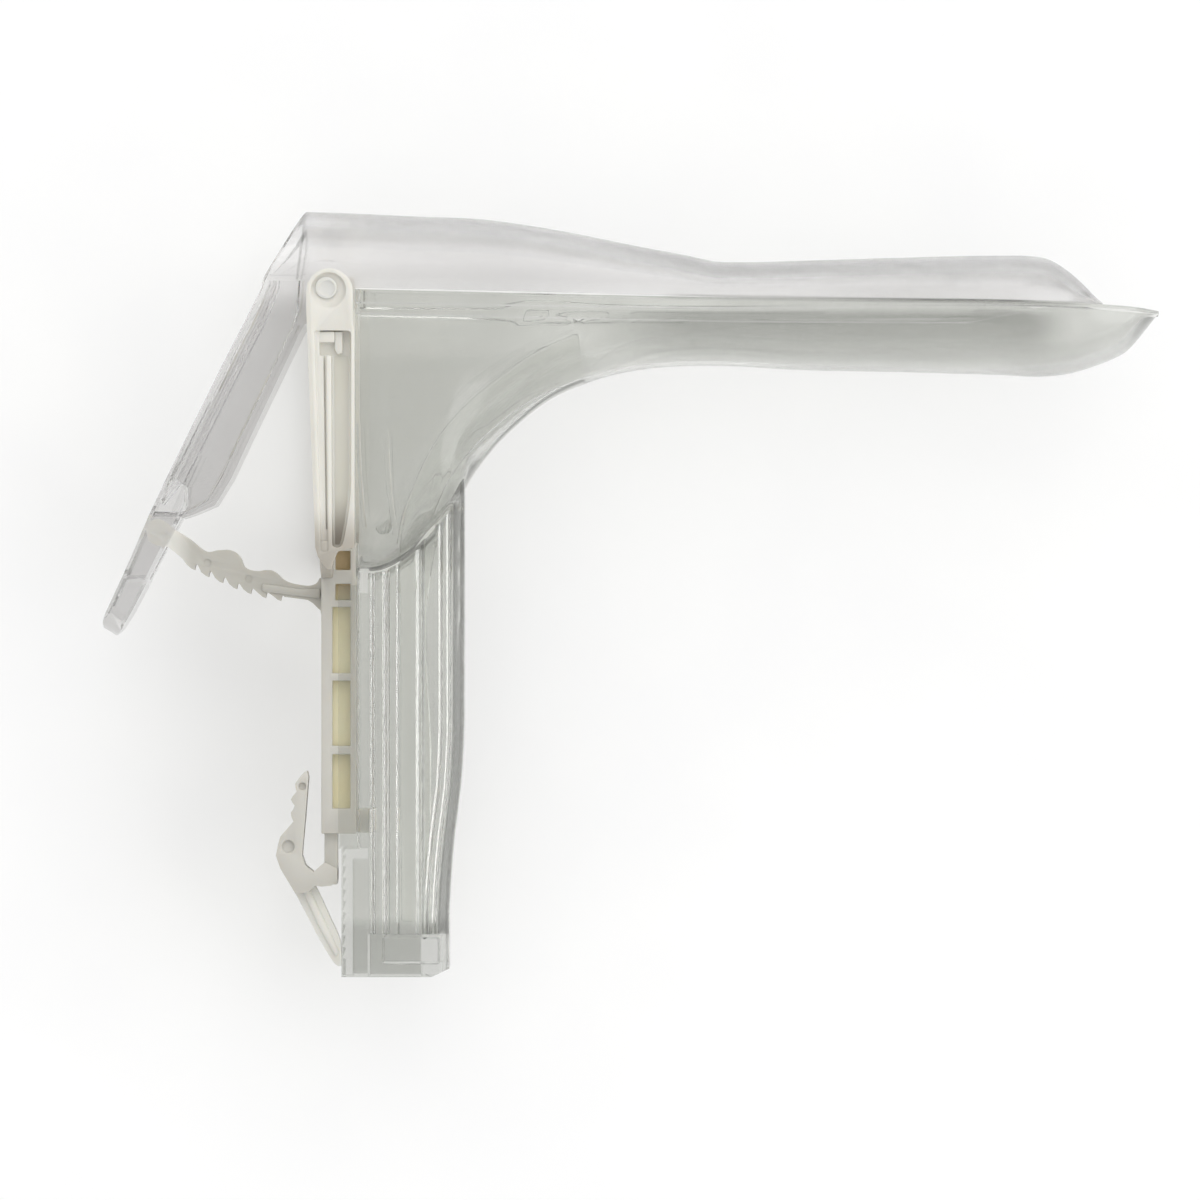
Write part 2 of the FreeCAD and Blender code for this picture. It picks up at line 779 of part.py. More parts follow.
# Cross bar that ties the two arms to the slide strip
yoke_bridge = new_body("yoke_bridge")
pad(
    yoke_bridge,
    "bridge_plan",
    "YZ_Plane",
    [
        (BAR_LOW, "-strip_width / 2 - bar_end"),
        (BAR_LOW, "strip_width / 2 + bar_end"),
        (f"{BAR_LOW} + bar_end", "crown_half + clearance + arm_wall - bar_corner"),
        (ARM_FOOT, "crown_half + clearance + arm_wall"),
        (ARM_FOOT, "crown_half + clearance"),
        (BAR_HIGH, "crown_half + clearance"),
        (BAR_HIGH, "-crown_half - clearance"),
        (ARM_FOOT, "-crown_half - clearance"),
        (ARM_FOOT, "-crown_half - clearance - arm_wall"),
        (f"{BAR_LOW} + bar_end", "-crown_half - clearance - arm_wall + bar_corner"),
    ],
    "bar_depth",
    both=False,
    away="-strip_back",
)
pad(
    yoke_bridge,
    "bridge_block",
    "XY_Plane",
    rectangle("-strip_back", BAR_LOW, "-mouth_back - clearance", BAR_HIGH),
    "strip_width",
)
for side, turn in (("right", 1), ("left", -1)):
    pocket(
        yoke_bridge,
        f"bridge_window_{side}",
        "XY_Plane",
        rectangle(
            "-strip_back + strip_lip_back",
            f"{BAR_LOW} + bar_window_low",
            "-mouth_back - clearance - strip_lip_front",
            f"{BAR_HIGH} - bar_window_high",
        ),
        "(strip_width - strip_web) / 2",
        both=False,
        away="strip_width / 2" if turn > 0 else "-strip_width / 2",
        back=turn < 0,
    )

# Slide strip: a ladder of shallow windows on each side of a thin web
slide_strip = new_body("slide_strip")
pad(
    slide_strip,
    "strip_bar",
    "XY_Plane",
    [
        ("-strip_back", "strip_low"),
        ("-mouth_back - clearance", "strip_low"),
        ("-mouth_back - clearance", BAR_LOW),
        ("-strip_back", BAR_LOW),
    ],
    "strip_width",
)
short_low = "(ratchet_height - short_window_drop)"
window_count = int(value(f"({short_low} - strip_low - window_start) / window_pitch") + COUNT_MARGIN)
windows = [(short_low, f"{BAR_LOW} - short_window_rung")]
for window in range(window_count):
    start = f"(strip_low + window_start + window_pitch * {window})"
    windows.append((f"max({start}; strip_low + strip_end_block)", f"{start} + window_height"))
for number, (low, high) in enumerate(windows, start=1):
    for side, turn in (("right", 1), ("left", -1)):
        pocket(
            slide_strip,
            f"window_{side}_{number}",
            "XY_Plane",
            rectangle("-strip_back + strip_lip_back", low, "-mouth_back - clearance - strip_lip_front", high),
            "(strip_width - strip_web) / 2",
            both=False,
            away="strip_width / 2" if turn > 0 else "-strip_width / 2",
            back=turn < 0,
        )
pad(
    slide_strip,
    "strip_tail",
    "XY_Plane",
    rectangle("-tail_back", "tail_low", "-tail_front", "strip_low + tail_overlap"),
    "tail_width",
)

# Tongue with a wide head, which holds the strip to the handle's slot
slide_tongue = new_body("slide_tongue")
pad(
    slide_tongue,
    "tongue_section",
    "XZ_Plane",
    [
        ("-mouth_back - clearance", "-tongue_neck / 2"),
        ("-handle_back + handle_wall + clearance", "-tongue_neck / 2"),
        ("-handle_back + handle_wall + clearance", "-tongue_head / 2"),
        ("-handle_back + handle_wall + clearance + tongue_head_depth", "-tongue_head / 2"),
        ("-handle_back + handle_wall + clearance + tongue_head_depth", "tongue_head / 2"),
        ("-handle_back + handle_wall + clearance", "tongue_head / 2"),
        ("-handle_back + handle_wall + clearance", "tongue_neck / 2"),
        ("-mouth_back - clearance", "tongue_neck / 2"),
    ],
    "tongue_length",
    both=False,
    away="-strip_low - tongue_rise - tongue_length",
)

# Lug on the strip's back, at the root of the ratchet arm's living hinge
ratchet_lug = new_body("ratchet_lug")
pad(
    ratchet_lug,
    "lug_block",
    "XY_Plane",
    [
        ("-strip_back", "ratchet_height - lug_drop - lug_flare"),
        ("-strip_back", "ratchet_height + lug_rise + lug_flare"),
        ("-strip_back - lug_reach", "ratchet_height + lug_rise"),
        ("-strip_back - lug_reach", "ratchet_height - lug_drop"),
    ],
    "ratchet_width",
)

# Ratchet arm, drawn along its own length from its hinge and then turned into place
ratchet_arm = new_body("ratchet_arm")
ratchet_corners = [
    ("ratchet_root", "ratchet_top"),
    ("-hump_start", "ratchet_top"),
    ("-hump_peak", "ratchet_top + hump_rise"),
    ("-hump_end", "ratchet_top"),
    ("-ridge_start", "ratchet_top"),
    ("-ridge_peak", "ratchet_top + ridge_rise", "ridge_radius"),
    ("-ridge_back", "ratchet_top + ridge_rise"),
    ("-ridge_end", "ratchet_top"),
    ("-ratchet_reach", "ratchet_top + ratchet_rise"),
    ("-ratchet_tip + ratchet_tip_corner", "ratchet_top + ratchet_rise / 2", "ratchet_tip_radius"),
    ("-ratchet_tip + ratchet_tip_corner / 2", "ratchet_top - ratchet_tip_under"),
    ("-ratchet_reach", "ratchet_top - ratchet_thick + ratchet_rise"),
]
for tooth in reversed(range(TOOTH_COUNT)):
    place = f"-first_tooth - tooth_pitch * {tooth}"
    ratchet_corners.append((f"{place} - tooth_heel", "ratchet_top - ratchet_thick"))
    ratchet_corners.append((f"{place}", "ratchet_top - ratchet_thick - tooth_height"))
    ratchet_corners.append((f"{place} + tooth_hook", "ratchet_top - ratchet_thick"))
ratchet_corners.append(("-ratchet_neck", "ratchet_top - ratchet_thick + ratchet_neck_lift"))
ratchet_corners.append(("ratchet_root", "ratchet_top - ratchet_root_under - tooth_heel"))
pad(ratchet_arm, "ratchet_bar", "XY_Plane", ratchet_corners, "ratchet_width")
ratchet_arm.Placement = FreeCAD.Placement(
    FreeCAD.Vector(value("-ratchet_back"), value("ratchet_height"), 0),
    FreeCAD.Rotation(FreeCAD.Vector(0, 0, 1), -value("ratchet_tilt")),
)

# Latch lever: the upper limb with finger serrations
latch_lever = new_body("latch_lever")
latch_corners = [
    ("-latch_back", "latch_height + latch_neck_rise"),
    ("-latch_tip_back - latch_crotch", "latch_height + latch_crotch_rise"),
    ("-latch_tip_back + latch_tip_lean", "latch_tip_height - latch_tip_shoulder"),
    ("-latch_tip_back", "latch_tip_height", "latch_tip_round"),
    ("-latch_tip_back - latch_tip_width", "latch_tip_height - latch_tip_drop"),
]
for ridge in range(SERRATION_COUNT):
    height = f"latch_tip_height - serration_start - serration_pitch * {ridge}"
    shift = f"latch_tip_back + serration_inset + serration_spread * {ridge}"
    latch_corners.append((f"-({shift})", height))
    latch_corners.append((f"-({shift} + serration_depth)", f"{height} - serration_pitch * serration_share"))
latch_corners.append(("-latch_knee_back", "latch_knee_height + latch_knee_rise"))
latch_corners.append(("-latch_knee_back", "latch_knee_height"))
latch_corners.append(("-latch_knee_back + latch_knee_lean", "latch_height - latch_root_drop"))
latch_corners.append(("-latch_back", "latch_height - latch_root_drop"))
pad(latch_lever, "latch_limb", "XY_Plane", latch_corners, "latch_width")

# Latch foot: the lower limb, whose tip rests on the rack
latch_foot = new_body("latch_foot")
pad(
    latch_foot,
    "latch_leg",
    "XY_Plane",
    [
        ("-latch_knee_back + leg_inset", "latch_height - latch_root_drop + leg_thick"),
        ("-foot_back - clearance - foot_tip_reach", "foot_tip_height + leg_thick - leg_inset"),
        ("-foot_back - clearance", "foot_tip_height"),
        ("-foot_back - clearance", "foot_tip_height + leg_thick"),
        ("-latch_back", "latch_height - latch_root_drop"),
        ("-latch_knee_back + latch_knee_lean", "latch_height - latch_root_drop"),
    ],
    "rack_width - leg_narrower",
)

document.recompute()

NODES = [
    "lower_blade",
    "handle_shell",
    "light_guide",
    "base_collar",
    "detent_rack",
    "upper_blade",
    "lever_rail_right",
    "lever_rail_left",
    "thumb_tab",
    "hinge_pin_right",
    "hinge_pin_left",
    "yoke_arm_right",
    "yoke_arm_left",
    "yoke_bridge",
    "slide_strip",
    "slide_tongue",
    "ratchet_lug",
    "ratchet_arm",
    "latch_lever",
    "latch_foot",
]

for item in document.Objects:
    if "Invalid" in item.State or "Error" in item.State:
        raise ValueError(f"{item.Label} did not build: {item.State}")
for label in NODES:
    piece = document.getObjectsByLabel(label)[0]
    if piece.Shape.isNull() or not piece.Shape.isValid() or piece.Shape.Volume <= 0:
        raise ValueError(f"{label} is not a sound solid")

os.makedirs("parts", exist_ok=True)
for label in NODES:
    piece = document.getObjectsByLabel(label)[0]
    piece.Shape.exportStep(f"parts/{label}.step")
    print(f"{label}: {len(piece.Shape.Solids)} solid, {piece.Shape.Volume:.0f} cubic mm")
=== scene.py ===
# %% [markdown]
# # A bivalve speculum of clear moulded plastic, lying on its side
# The real object is three mouldings: a clear lower half (blade, funnel and hollow grip),
# a clear upper half (blade, thumb lever and hinge pins) and a white yoke that holds them together.
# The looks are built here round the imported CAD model, in its own frame and in metres.

import math

import bpy
import bmesh
import numpy as np
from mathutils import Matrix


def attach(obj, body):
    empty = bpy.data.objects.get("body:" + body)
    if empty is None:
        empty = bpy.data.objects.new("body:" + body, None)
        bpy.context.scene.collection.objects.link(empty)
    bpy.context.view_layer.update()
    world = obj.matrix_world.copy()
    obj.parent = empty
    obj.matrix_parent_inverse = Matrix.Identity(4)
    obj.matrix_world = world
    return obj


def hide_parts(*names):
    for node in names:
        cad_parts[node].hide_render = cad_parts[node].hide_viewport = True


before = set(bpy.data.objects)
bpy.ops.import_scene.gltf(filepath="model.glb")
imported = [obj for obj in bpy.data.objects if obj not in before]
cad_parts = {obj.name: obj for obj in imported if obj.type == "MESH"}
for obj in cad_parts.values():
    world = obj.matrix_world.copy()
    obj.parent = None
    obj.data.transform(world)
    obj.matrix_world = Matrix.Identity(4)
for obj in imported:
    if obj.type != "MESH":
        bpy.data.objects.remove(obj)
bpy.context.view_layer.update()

# %% [markdown]
# The outlines are read off the photograph, which looks straight down on the object's side.
# One of its pixels is 0.165 mm, and the middle of the foot's end face is at pixel 396, 975.
# Everything seen in outline is written in those pixels, so it can be held against the picture,
# and everything across the width is written in millimetres.

# %% Places in the photograph
PIXEL = 0.165e-3
FOOT = (396.0, 975.0)
MM = 1e-3


def spot(across, down):
    """Metres in the frame of a place in the photograph, given in its pixels."""
    return (across - FOOT[0]) * PIXEL, (FOOT[1] - down) * PIXEL


def spots(places):
    return [spot(*place) for place in places]


def through(known, heights, wanted):
    """A smooth curve through known points, worked out at the wanted places."""
    known, heights, wanted = (np.asarray(v, float) for v in (known, heights, wanted))
    slopes = np.gradient(heights, known)
    left = np.clip(np.searchsorted(known, wanted) - 1, 0, len(known) - 2)
    span = known[left + 1] - known[left]
    t = (wanted - known[left]) / span
    ease = t * t * (3 - 2 * t)
    start = slopes[left] * span * (t ** 3 - 2 * t * t + t)
    stop = slopes[left + 1] * span * (t ** 3 - t * t)
    return heights[left] * (1 - ease) + heights[left + 1] * ease + start + stop


def curve(places, count):
    """Points spaced evenly along a smooth path through the places."""
    places = np.asarray(places, float)
    run = np.concatenate([[0], np.cumsum(np.linalg.norm(np.diff(places, axis=0), axis=1))])
    wanted = np.linspace(0, run[-1], count)
    return np.stack([through(run, places[:, axis], wanted) for axis in range(places.shape[1])], axis=1)


print("one pixel is", PIXEL * 1000, "mm")

# %% [markdown]
# Every piece is a closed skin, so that light bends through the clear ones as it does in real plastic.
# A skin is made of rings of points with a flat face at each end, or of one outline raised to a thickness.
# Joins and cuts are worked out once and kept in the mesh.

# %% Making pieces
def new_piece(name, points, faces):
    mesh = bpy.data.meshes.new(name)
    mesh.from_pydata([tuple(point) for point in points], [], faces)
    work = bmesh.new()
    work.from_mesh(mesh)
    bmesh.ops.recalc_face_normals(work, faces=work.faces)
    work.to_mesh(mesh)
    work.free()
    piece = bpy.data.objects.new(name, mesh)
    bpy.context.scene.collection.objects.link(piece)
    return piece


def ring_piece(name, rings):
    """A closed skin over rings that all have the same number of points."""
    rings = np.asarray(rings, float)
    count, around = rings.shape[:2]
    faces = []
    for ring in range(count - 1):
        for index in range(around):
            after = (index + 1) % around
            low, high = ring * around, (ring + 1) * around
            faces.append((low + index, low + after, high + after, high + index))
    faces.append(tuple(range(around)))
    faces.append(tuple(range((count - 1) * around, count * around)))
    return new_piece(name, rings.reshape(-1, 3), faces)


def plate(name, corners, low, high):
    """An outline given in metres, raised from one height to another."""
    rings = [[(x, y, height) for x, y in corners] for height in (low, high)]
    return ring_piece(name, rings)


def disc(name, centre, radius, low, high, count=40):
    turns = np.linspace(0, 2 * math.pi, count, endpoint=False)
    corners = [(centre[0] + radius * math.cos(turn), centre[1] + radius * math.sin(turn)) for turn in turns]
    return plate(name, corners, low, high)


def block(name, low, high):
    corners = [(low[0], low[1]), (high[0], low[1]), (high[0], high[1]), (low[0], high[1])]
    return plate(name, corners, low[2], high[2])


def reach(side, near, far):
    """Two heights in metres, the lower one first, from millimetres out from the middle on one side."""
    return sorted((side * near * MM, side * far * MM))


def settle(piece):
    """Keep what a piece's modifiers make as its own mesh."""
    ready = piece.evaluated_get(bpy.context.evaluated_depsgraph_get())
    mesh = bpy.data.meshes.new_from_object(ready)
    before = piece.data
    piece.modifiers.clear()
    piece.data = mesh
    bpy.data.meshes.remove(before)


def work_with(piece, other, operation):
    """Join another piece to this one or cut it away, and drop the other."""
    change = piece.modifiers.new(operation, "BOOLEAN")
    change.operation = operation
    change.solver = "MANIFOLD"
    change.object = other
    settle(piece)
    bpy.data.objects.remove(other)
    if not piece.data.polygons:
        raise ValueError(f"{piece.name} was lost in a {operation}")


def join(piece, *others):
    for other in others:
        work_with(piece, other, "UNION")


def carve(piece, *others):
    for other in others:
        work_with(piece, other, "DIFFERENCE")


def soften(piece, width, angle=35, segments=2):
    """Round the hard edges, as a mould does."""
    bevel = piece.modifiers.new("soft edges", "BEVEL")
    bevel.width = width
    bevel.segments = segments
    bevel.limit_method = "ANGLE"
    bevel.angle_limit = math.radians(angle)
    bevel.harden_normals = False
    settle(piece)


def dress(piece, material, body, nodes=(), angle=40):
    """Shade a piece, give it its material, and tie it to the CAD body that it moves with."""
    piece.data.materials.clear()
    piece.data.materials.append(material)
    piece.data.shade_smooth()
    piece.data.set_sharp_from_angle(angle=math.radians(angle))
    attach(piece, body)
    if nodes:
        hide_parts(*nodes)
    print(piece.name, len(piece.data.vertices), "points", [round(v * 1000, 1) for v in piece.dimensions])


# %% [markdown]
# The clear plastic is a styrene-like moulding: smooth where the mould was polished and lightly frosted
# on the blades. It could be a thin transparent film, but then no edge would show, so it is a solid that
# bends light as real plastic does. Its own colour is a faint grey or green that each wall adds to.
# Its tint is deeper in zones along the object's own axes: in the solid tab and the foot's collar, where the
# plastic is thick, and at the slanted back of the dome. The darker band under the lower blade's rim and the
# darker middle of the funnel are painted shade. Straight dark lines are painted shadow in the gap between
# the blades and painted shade along steps and edges. For shadows it lets most of the light straight through,
# because bent light under clear plastic still reaches the table.

# %% Clear plastic
SHADE = (0.93, 0.93, 0.925)


def noise(tree, scale, detail, stretch=(1, 1, 1)):
    """Noise over the object's own space, in metres, stretched along the axes."""
    place = tree.nodes.new("ShaderNodeTexCoord")
    mapping = tree.nodes.new("ShaderNodeMapping")
    mapping.inputs["Scale"].default_value = stretch
    texture = tree.nodes.new("ShaderNodeTexNoise")
    texture.inputs["Scale"].default_value = scale
    texture.inputs["Detail"].default_value = detail
    tree.links.new(place.outputs["Object"], mapping.inputs["Vector"])
    tree.links.new(mapping.outputs["Vector"], texture.inputs["Vector"])
    return texture.outputs["Fac"]


def spread(tree, source, low, high):
    """Turn noise into a number between two limits."""
    ranged = tree.nodes.new("ShaderNodeMapRange")
    ranged.inputs["From Min"].default_value = 0.35
    ranged.inputs["From Max"].default_value = 0.65
    ranged.inputs["To Min"].default_value = low
    ranged.inputs["To Max"].default_value = high
    tree.links.new(source, ranged.inputs["Value"])
    return ranged.outputs["Result"]


def between(tree, source, first, second):
    """Turn noise into a colour between two near ones."""
    blend = tree.nodes.new("ShaderNodeMix")
    blend.data_type = "RGBA"
    blend.inputs["A"].default_value = (*first, 1)
    blend.inputs["B"].default_value = (*second, 1)
    tree.links.new(spread(tree, source, 0, 1), blend.inputs["Factor"])
    return blend.outputs["Result"]


def bumps(tree, source, strength, distance):
    bump = tree.nodes.new("ShaderNodeBump")
    bump.inputs["Strength"].default_value = strength
    bump.inputs["Distance"].default_value = distance
    tree.links.new(source, bump.inputs["Height"])
    return bump.outputs["Normal"]


def start_material(name):
    material = bpy.data.materials.new(name)
    material.use_nodes = True
    tree = material.node_tree
    tree.nodes.clear()
    output = tree.nodes.new("ShaderNodeOutputMaterial")
    plastic = tree.nodes.new("ShaderNodeBsdfPrincipled")
    return material, tree, output, plastic


def along(tree, axis, first, last, low, high):
    """A number that changes from one place along an axis to another; places are in millimetres."""
    place = tree.nodes.new("ShaderNodeTexCoord")
    apart = tree.nodes.new("ShaderNodeSeparateXYZ")
    ranged = tree.nodes.new("ShaderNodeMapRange")
    ranged.interpolation_type = "SMOOTHSTEP"
    numbers = (("From Min", first * MM), ("From Max", last * MM), ("To Min", low), ("To Max", high))
    for socket, number in numbers:
        ranged.inputs[socket].default_value = number
    tree.links.new(place.outputs["Object"], apart.inputs["Vector"])
    tree.links.new(apart.outputs[axis], ranged.inputs["Value"])
    return ranged.outputs["Result"]


def arithmetic(tree, operation, first, second):
    node = tree.nodes.new("ShaderNodeMath")
    node.operation = operation
    for index, source in enumerate((first, second)):
        if isinstance(source, (int, float)):
            node.inputs[index].default_value = source
        else:
            tree.links.new(source, node.inputs[index])
    return node.outputs["Value"]


def painted_line_mask(tree, first, last, width):
    """A number that is 1 on a straight line between two places of the photograph and 0 beside it."""
    start, end = np.array([*spot(*first), 0]), np.array([*spot(*last), 0])
    length = np.linalg.norm(end - start)
    forward = (end - start) / length
    place = tree.nodes.new("ShaderNodeTexCoord")
    offset = tree.nodes.new("ShaderNodeVectorMath")
    offset.operation = "SUBTRACT"
    offset.inputs[1].default_value = (start + end) / 2
    tree.links.new(place.outputs["Object"], offset.inputs[0])
    sideways = (-forward[1], forward[0], 0)
    near = 1.0
    for axis, inner, outer in ((sideways, 0.3 * width, width), (forward, 0.42 * length, length / 2)):
        measure = tree.nodes.new("ShaderNodeVectorMath")
        measure.operation = "DOT_PRODUCT"
        measure.inputs[1].default_value = axis
        tree.links.new(offset.outputs["Vector"], measure.inputs[0])
        ranged = tree.nodes.new("ShaderNodeMapRange")
        ranged.inputs["From Min"].default_value = inner
        ranged.inputs["From Max"].default_value = outer
        ranged.inputs["To Min"].default_value = 1
        ranged.inputs["To Max"].default_value = 0
        tree.links.new(arithmetic(tree, "ABSOLUTE", measure.outputs["Value"], 0), ranged.inputs["Value"])
        near = arithmetic(tree, "MULTIPLY", near, ranged.outputs["Result"])
    return near


def clear_plastic(name, tints, frost, stretch, waviness, veil, deeper_tint_zones=(), polished=(), painted_lines=()):
    """Clear moulded plastic. Frost is its lowest and highest roughness, and veil is the share of light that
    its thin wall lets straight through. The deeper tint zones list where the tint is deeper: how deep, and
    the places along axes between which each one begins. Polished is the place where the frost begins. The
    painted lines are straight dark lines of painted shadow and painted shade, each with its share of the
    deeper tint."""
    material, tree, output, plastic = start_material(name)
    depth = spread(tree, noise(tree, 60, 2, stretch), 0, 0.2)
    for share, *limits in deeper_tint_zones:
        for place in limits:
            share = arithmetic(tree, "MULTIPLY", share, along(tree, *place, 0, 1))
        depth = arithmetic(tree, "MAXIMUM", depth, share)
    for share, *line in painted_lines:
        depth = arithmetic(tree, "MAXIMUM", depth, arithmetic(tree, "MULTIPLY", painted_line_mask(tree, *line), share))
    blend = tree.nodes.new("ShaderNodeMix")
    blend.data_type = "RGBA"
    blend.inputs["A"].default_value = (*tints[0], 1)
    blend.inputs["B"].default_value = (*tints[1], 1)
    tree.links.new(depth, blend.inputs["Factor"])
    tree.links.new(blend.outputs["Result"], plastic.inputs["Base Color"])
    rough = spread(tree, noise(tree, 50, 1), *frost)
    if polished:
        rough = arithmetic(tree, "MULTIPLY", rough, along(tree, *polished, 0.15, 1))
    tree.links.new(rough, plastic.inputs["Roughness"])
    tree.links.new(bumps(tree, noise(tree, 120, 1, stretch), waviness, 0.0002), plastic.inputs["Normal"])
    plastic.inputs["Transmission Weight"].default_value = 1
    plastic.inputs["IOR"].default_value = 1.49
    thin = tree.nodes.new("ShaderNodeBsdfTransparent")
    tree.links.new(blend.outputs["Result"], thin.inputs["Color"])
    wall = tree.nodes.new("ShaderNodeMixShader")
    wall.inputs["Fac"].default_value = veil
    tree.links.new(plastic.outputs["BSDF"], wall.inputs[1])
    tree.links.new(thin.outputs["BSDF"], wall.inputs[2])
    path = tree.nodes.new("ShaderNodeLightPath")
    soft = arithmetic(tree, "MAXIMUM", path.outputs["Is Shadow Ray"], path.outputs["Is Diffuse Ray"])
    passing = tree.nodes.new("ShaderNodeBsdfTransparent")
    passing.inputs["Color"].default_value = (*SHADE, 1)
    choice = tree.nodes.new("ShaderNodeMixShader")
    tree.links.new(soft, choice.inputs["Fac"])
    tree.links.new(wall.outputs["Shader"], choice.inputs[1])
    tree.links.new(passing.outputs["BSDF"], choice.inputs[2])
    tree.links.new(choice.outputs["Shader"], output.inputs["Surface"])
    return material


ALONG = (0.3, 1, 1)
UPRIGHT = (1, 0.25, 1)
# Painted shade: the first zone darkens the band under the rim along the blade, and the second darkens the
# middle of the funnel; the third follows the thick foot. The first line is painted shadow in the gap under
# the upper blade's edge, and the others are painted dark lines along the rim band's lower step and the
# funnel's lower edge over the grip.
clear_lower = clear_plastic(
    "clear_lower", ((0.86, 0.865, 0.845), (0.63, 0.635, 0.615)), (0.16, 0.2), UPRIGHT, 0.004, 0.12,
    deeper_tint_zones=[
        (1, ("Y", 98.5, 108), ("Y", 110, 108.3), ("X", 114, 103), ("X", 26, 50)),
        (0.27, ("Y", 66, 69), ("Y", 106, 100), ("X", 45, 25)), (0.6, ("Y", 11, 7)),
    ],
    polished=("X", 45, 75),
    painted_lines=[
        (1, (640, 298), (1100, 305.5), 0.45 * MM), (0.8, (520, 325), (1070, 317), 0.25 * MM),
        (0.8, (449, 505), (440, 526), 0.3 * MM), (1, (441, 523), (432, 541), 0.35 * MM),
        (1, (434, 538), (415, 556), 0.35 * MM), (0.8, (418, 553), (398, 569), 0.3 * MM),
    ],
)
clear_guide = clear_plastic(
    "clear_guide", ((0.97, 0.975, 0.955), (0.93, 0.935, 0.92)), (0.0, 0.02), UPRIGHT, 0.004, 0.05,
)
# The zones deepen the tint at the dome's slanted back and in the solid tab. The lines are painted shade down
# the dome's crease and along the lever's rails, with the widest one darkening the rails' back. The last line
# is painted shadow in the gap over the lower blade's rim.
clear_upper = clear_plastic(
    "clear_upper", ((0.945, 0.94, 0.94), (0.66, 0.655, 0.65)), (0.2, 0.26), ALONG, 0.008, 0.15,
    deeper_tint_zones=[(0.45, ("Y", 115, 109), ("X", -10, -15)), (0.9, ("Y", 67, 64.5))], polished=("X", -20, 2),
    painted_lines=[
        (1, (307, 214), (303.5, 250), 0.3 * MM), (0.9, (303.5, 246), (299, 284), 0.3 * MM),
        (1, (216, 374), (163, 503), 0.35 * MM), (1, (196, 462), (171, 520), 0.25 * MM),
        (0.8, (206, 452), (177, 514), 0.25 * MM), (0.6, (244, 345), (173, 485), MM),
        (1, (655, 297.5), (1103, 305), 0.5 * MM),
    ],
)
print("clear plastics made")

# %% [markdown]
# The yoke is a tough white plastic, slightly warm, with the soft look of light that goes a little way in.
# One white could do for all of it. The strip, the lug, the latch's upper limb and the toothed arm have a
# darker copy of it as painted shade, because they lie deep or between clear walls, and the arms, the tongue
# and the latch's leg keep the plain white. The arms' white goes over to painted shade towards their lower
# end, where they curve in away from the light, and the cross bar lies in that painted shade too. The toothed
# arm's tip inside the clear lever is painted lighter, as painted light. The thin web between the ladder's
# rungs is tan, partly its thin plastic's own tone and partly painted shade of its recess, with more painted
# shade towards its top.

# %% White plastic
def white_plastic(name, colour, second_colour, rough, painted_tone=None, limits=None):
    """White plastic, whose colour may go over to a painted tone between two limits along an axis: painted
    shade on most, painted light at the toothed arm's tip.
    """
    material, tree, output, plastic = start_material(name)
    look = between(tree, noise(tree, 70, 3), colour, second_colour)
    if painted_tone:
        blend = tree.nodes.new("ShaderNodeMix")
        blend.data_type = "RGBA"
        blend.inputs["B"].default_value = (*painted_tone, 1)
        tree.links.new(along(tree, *limits, 0, 1), blend.inputs["Factor"])
        tree.links.new(look, blend.inputs["A"])
        look = blend.outputs["Result"]
    tree.links.new(look, plastic.inputs["Base Color"])
    tree.links.new(spread(tree, noise(tree, 500, 4), *rough), plastic.inputs["Roughness"])
    tree.links.new(bumps(tree, noise(tree, 900, 3), 0.08, 0.0001), plastic.inputs["Normal"])
    plastic.inputs["IOR"].default_value = 1.5
    plastic.inputs["Subsurface Weight"].default_value = 0.25
    plastic.inputs["Subsurface Radius"].default_value = (1.0, 0.8, 0.55)
    plastic.inputs["Subsurface Scale"].default_value = 0.0012
    tree.links.new(plastic.outputs["BSDF"], output.inputs["Surface"])
    return material


SATIN = (0.38, 0.5)
# Painted shade: from 78 mm down to 70.5 mm up the yoke this white goes over to a darker brown, darkest at
# the arms' lower end.
white_yoke = white_plastic(
    "white_yoke", (0.74, 0.725, 0.665), (0.78, 0.765, 0.71), SATIN, (0.46, 0.43, 0.375), ("Y", 78, 70.5),
)
# Painted shade: a darker copy of the white for the parts that lie deep or between clear walls.
inner_white = white_plastic("inner_white", (0.57, 0.555, 0.505), (0.62, 0.605, 0.555), SATIN)
# Painted shade in a darker copy of the white, and painted light towards its tip inside the clear lever.
toothed_white = white_plastic(
    "toothed_white", (0.52, 0.505, 0.455), (0.57, 0.555, 0.505), SATIN, (0.82, 0.81, 0.765), ("X", -33, -37),
)
leg_white = white_plastic("leg_white", (0.74, 0.73, 0.68), (0.79, 0.78, 0.73), SATIN)
# The web's tan is partly its own tone and partly painted shade of its recess, and it turns to a deeper
# painted shade from 61 mm upwards.
tan_web = white_plastic(
    "tan_web", (0.84, 0.76, 0.49), (0.93, 0.87, 0.62), (0.45, 0.6), (0.60, 0.46, 0.26), ("Y", 61, 65),
)
# Painted shade: the pocket's floor goes dark brown from 80 mm down to 71.5 mm, towards the arm's lower end.
pocket_painted_shade = white_plastic(
    "pocket_painted_shade", (0.68, 0.665, 0.59), (0.72, 0.705, 0.64), (0.4, 0.5), (0.27, 0.24, 0.20), ("Y", 80, 71.5),
)
print("white plastics made")

# %% [markdown]
# The lower half's trough and funnel are one wall, about 1.6 mm thick, drawn as a row of U-shaped
# sections from the open mouth at the yoke to the spoon-shaped tip. The section is tall and square-sided
# in the funnel and becomes a shallow arc along the blade. A flange stands out along its rim, with a band
# below it and a small bead inside. Sections are used, not a block that is cut away, because the outline
# of the photograph then sets each one's height directly. Towards the tip the band and the bead fade out.

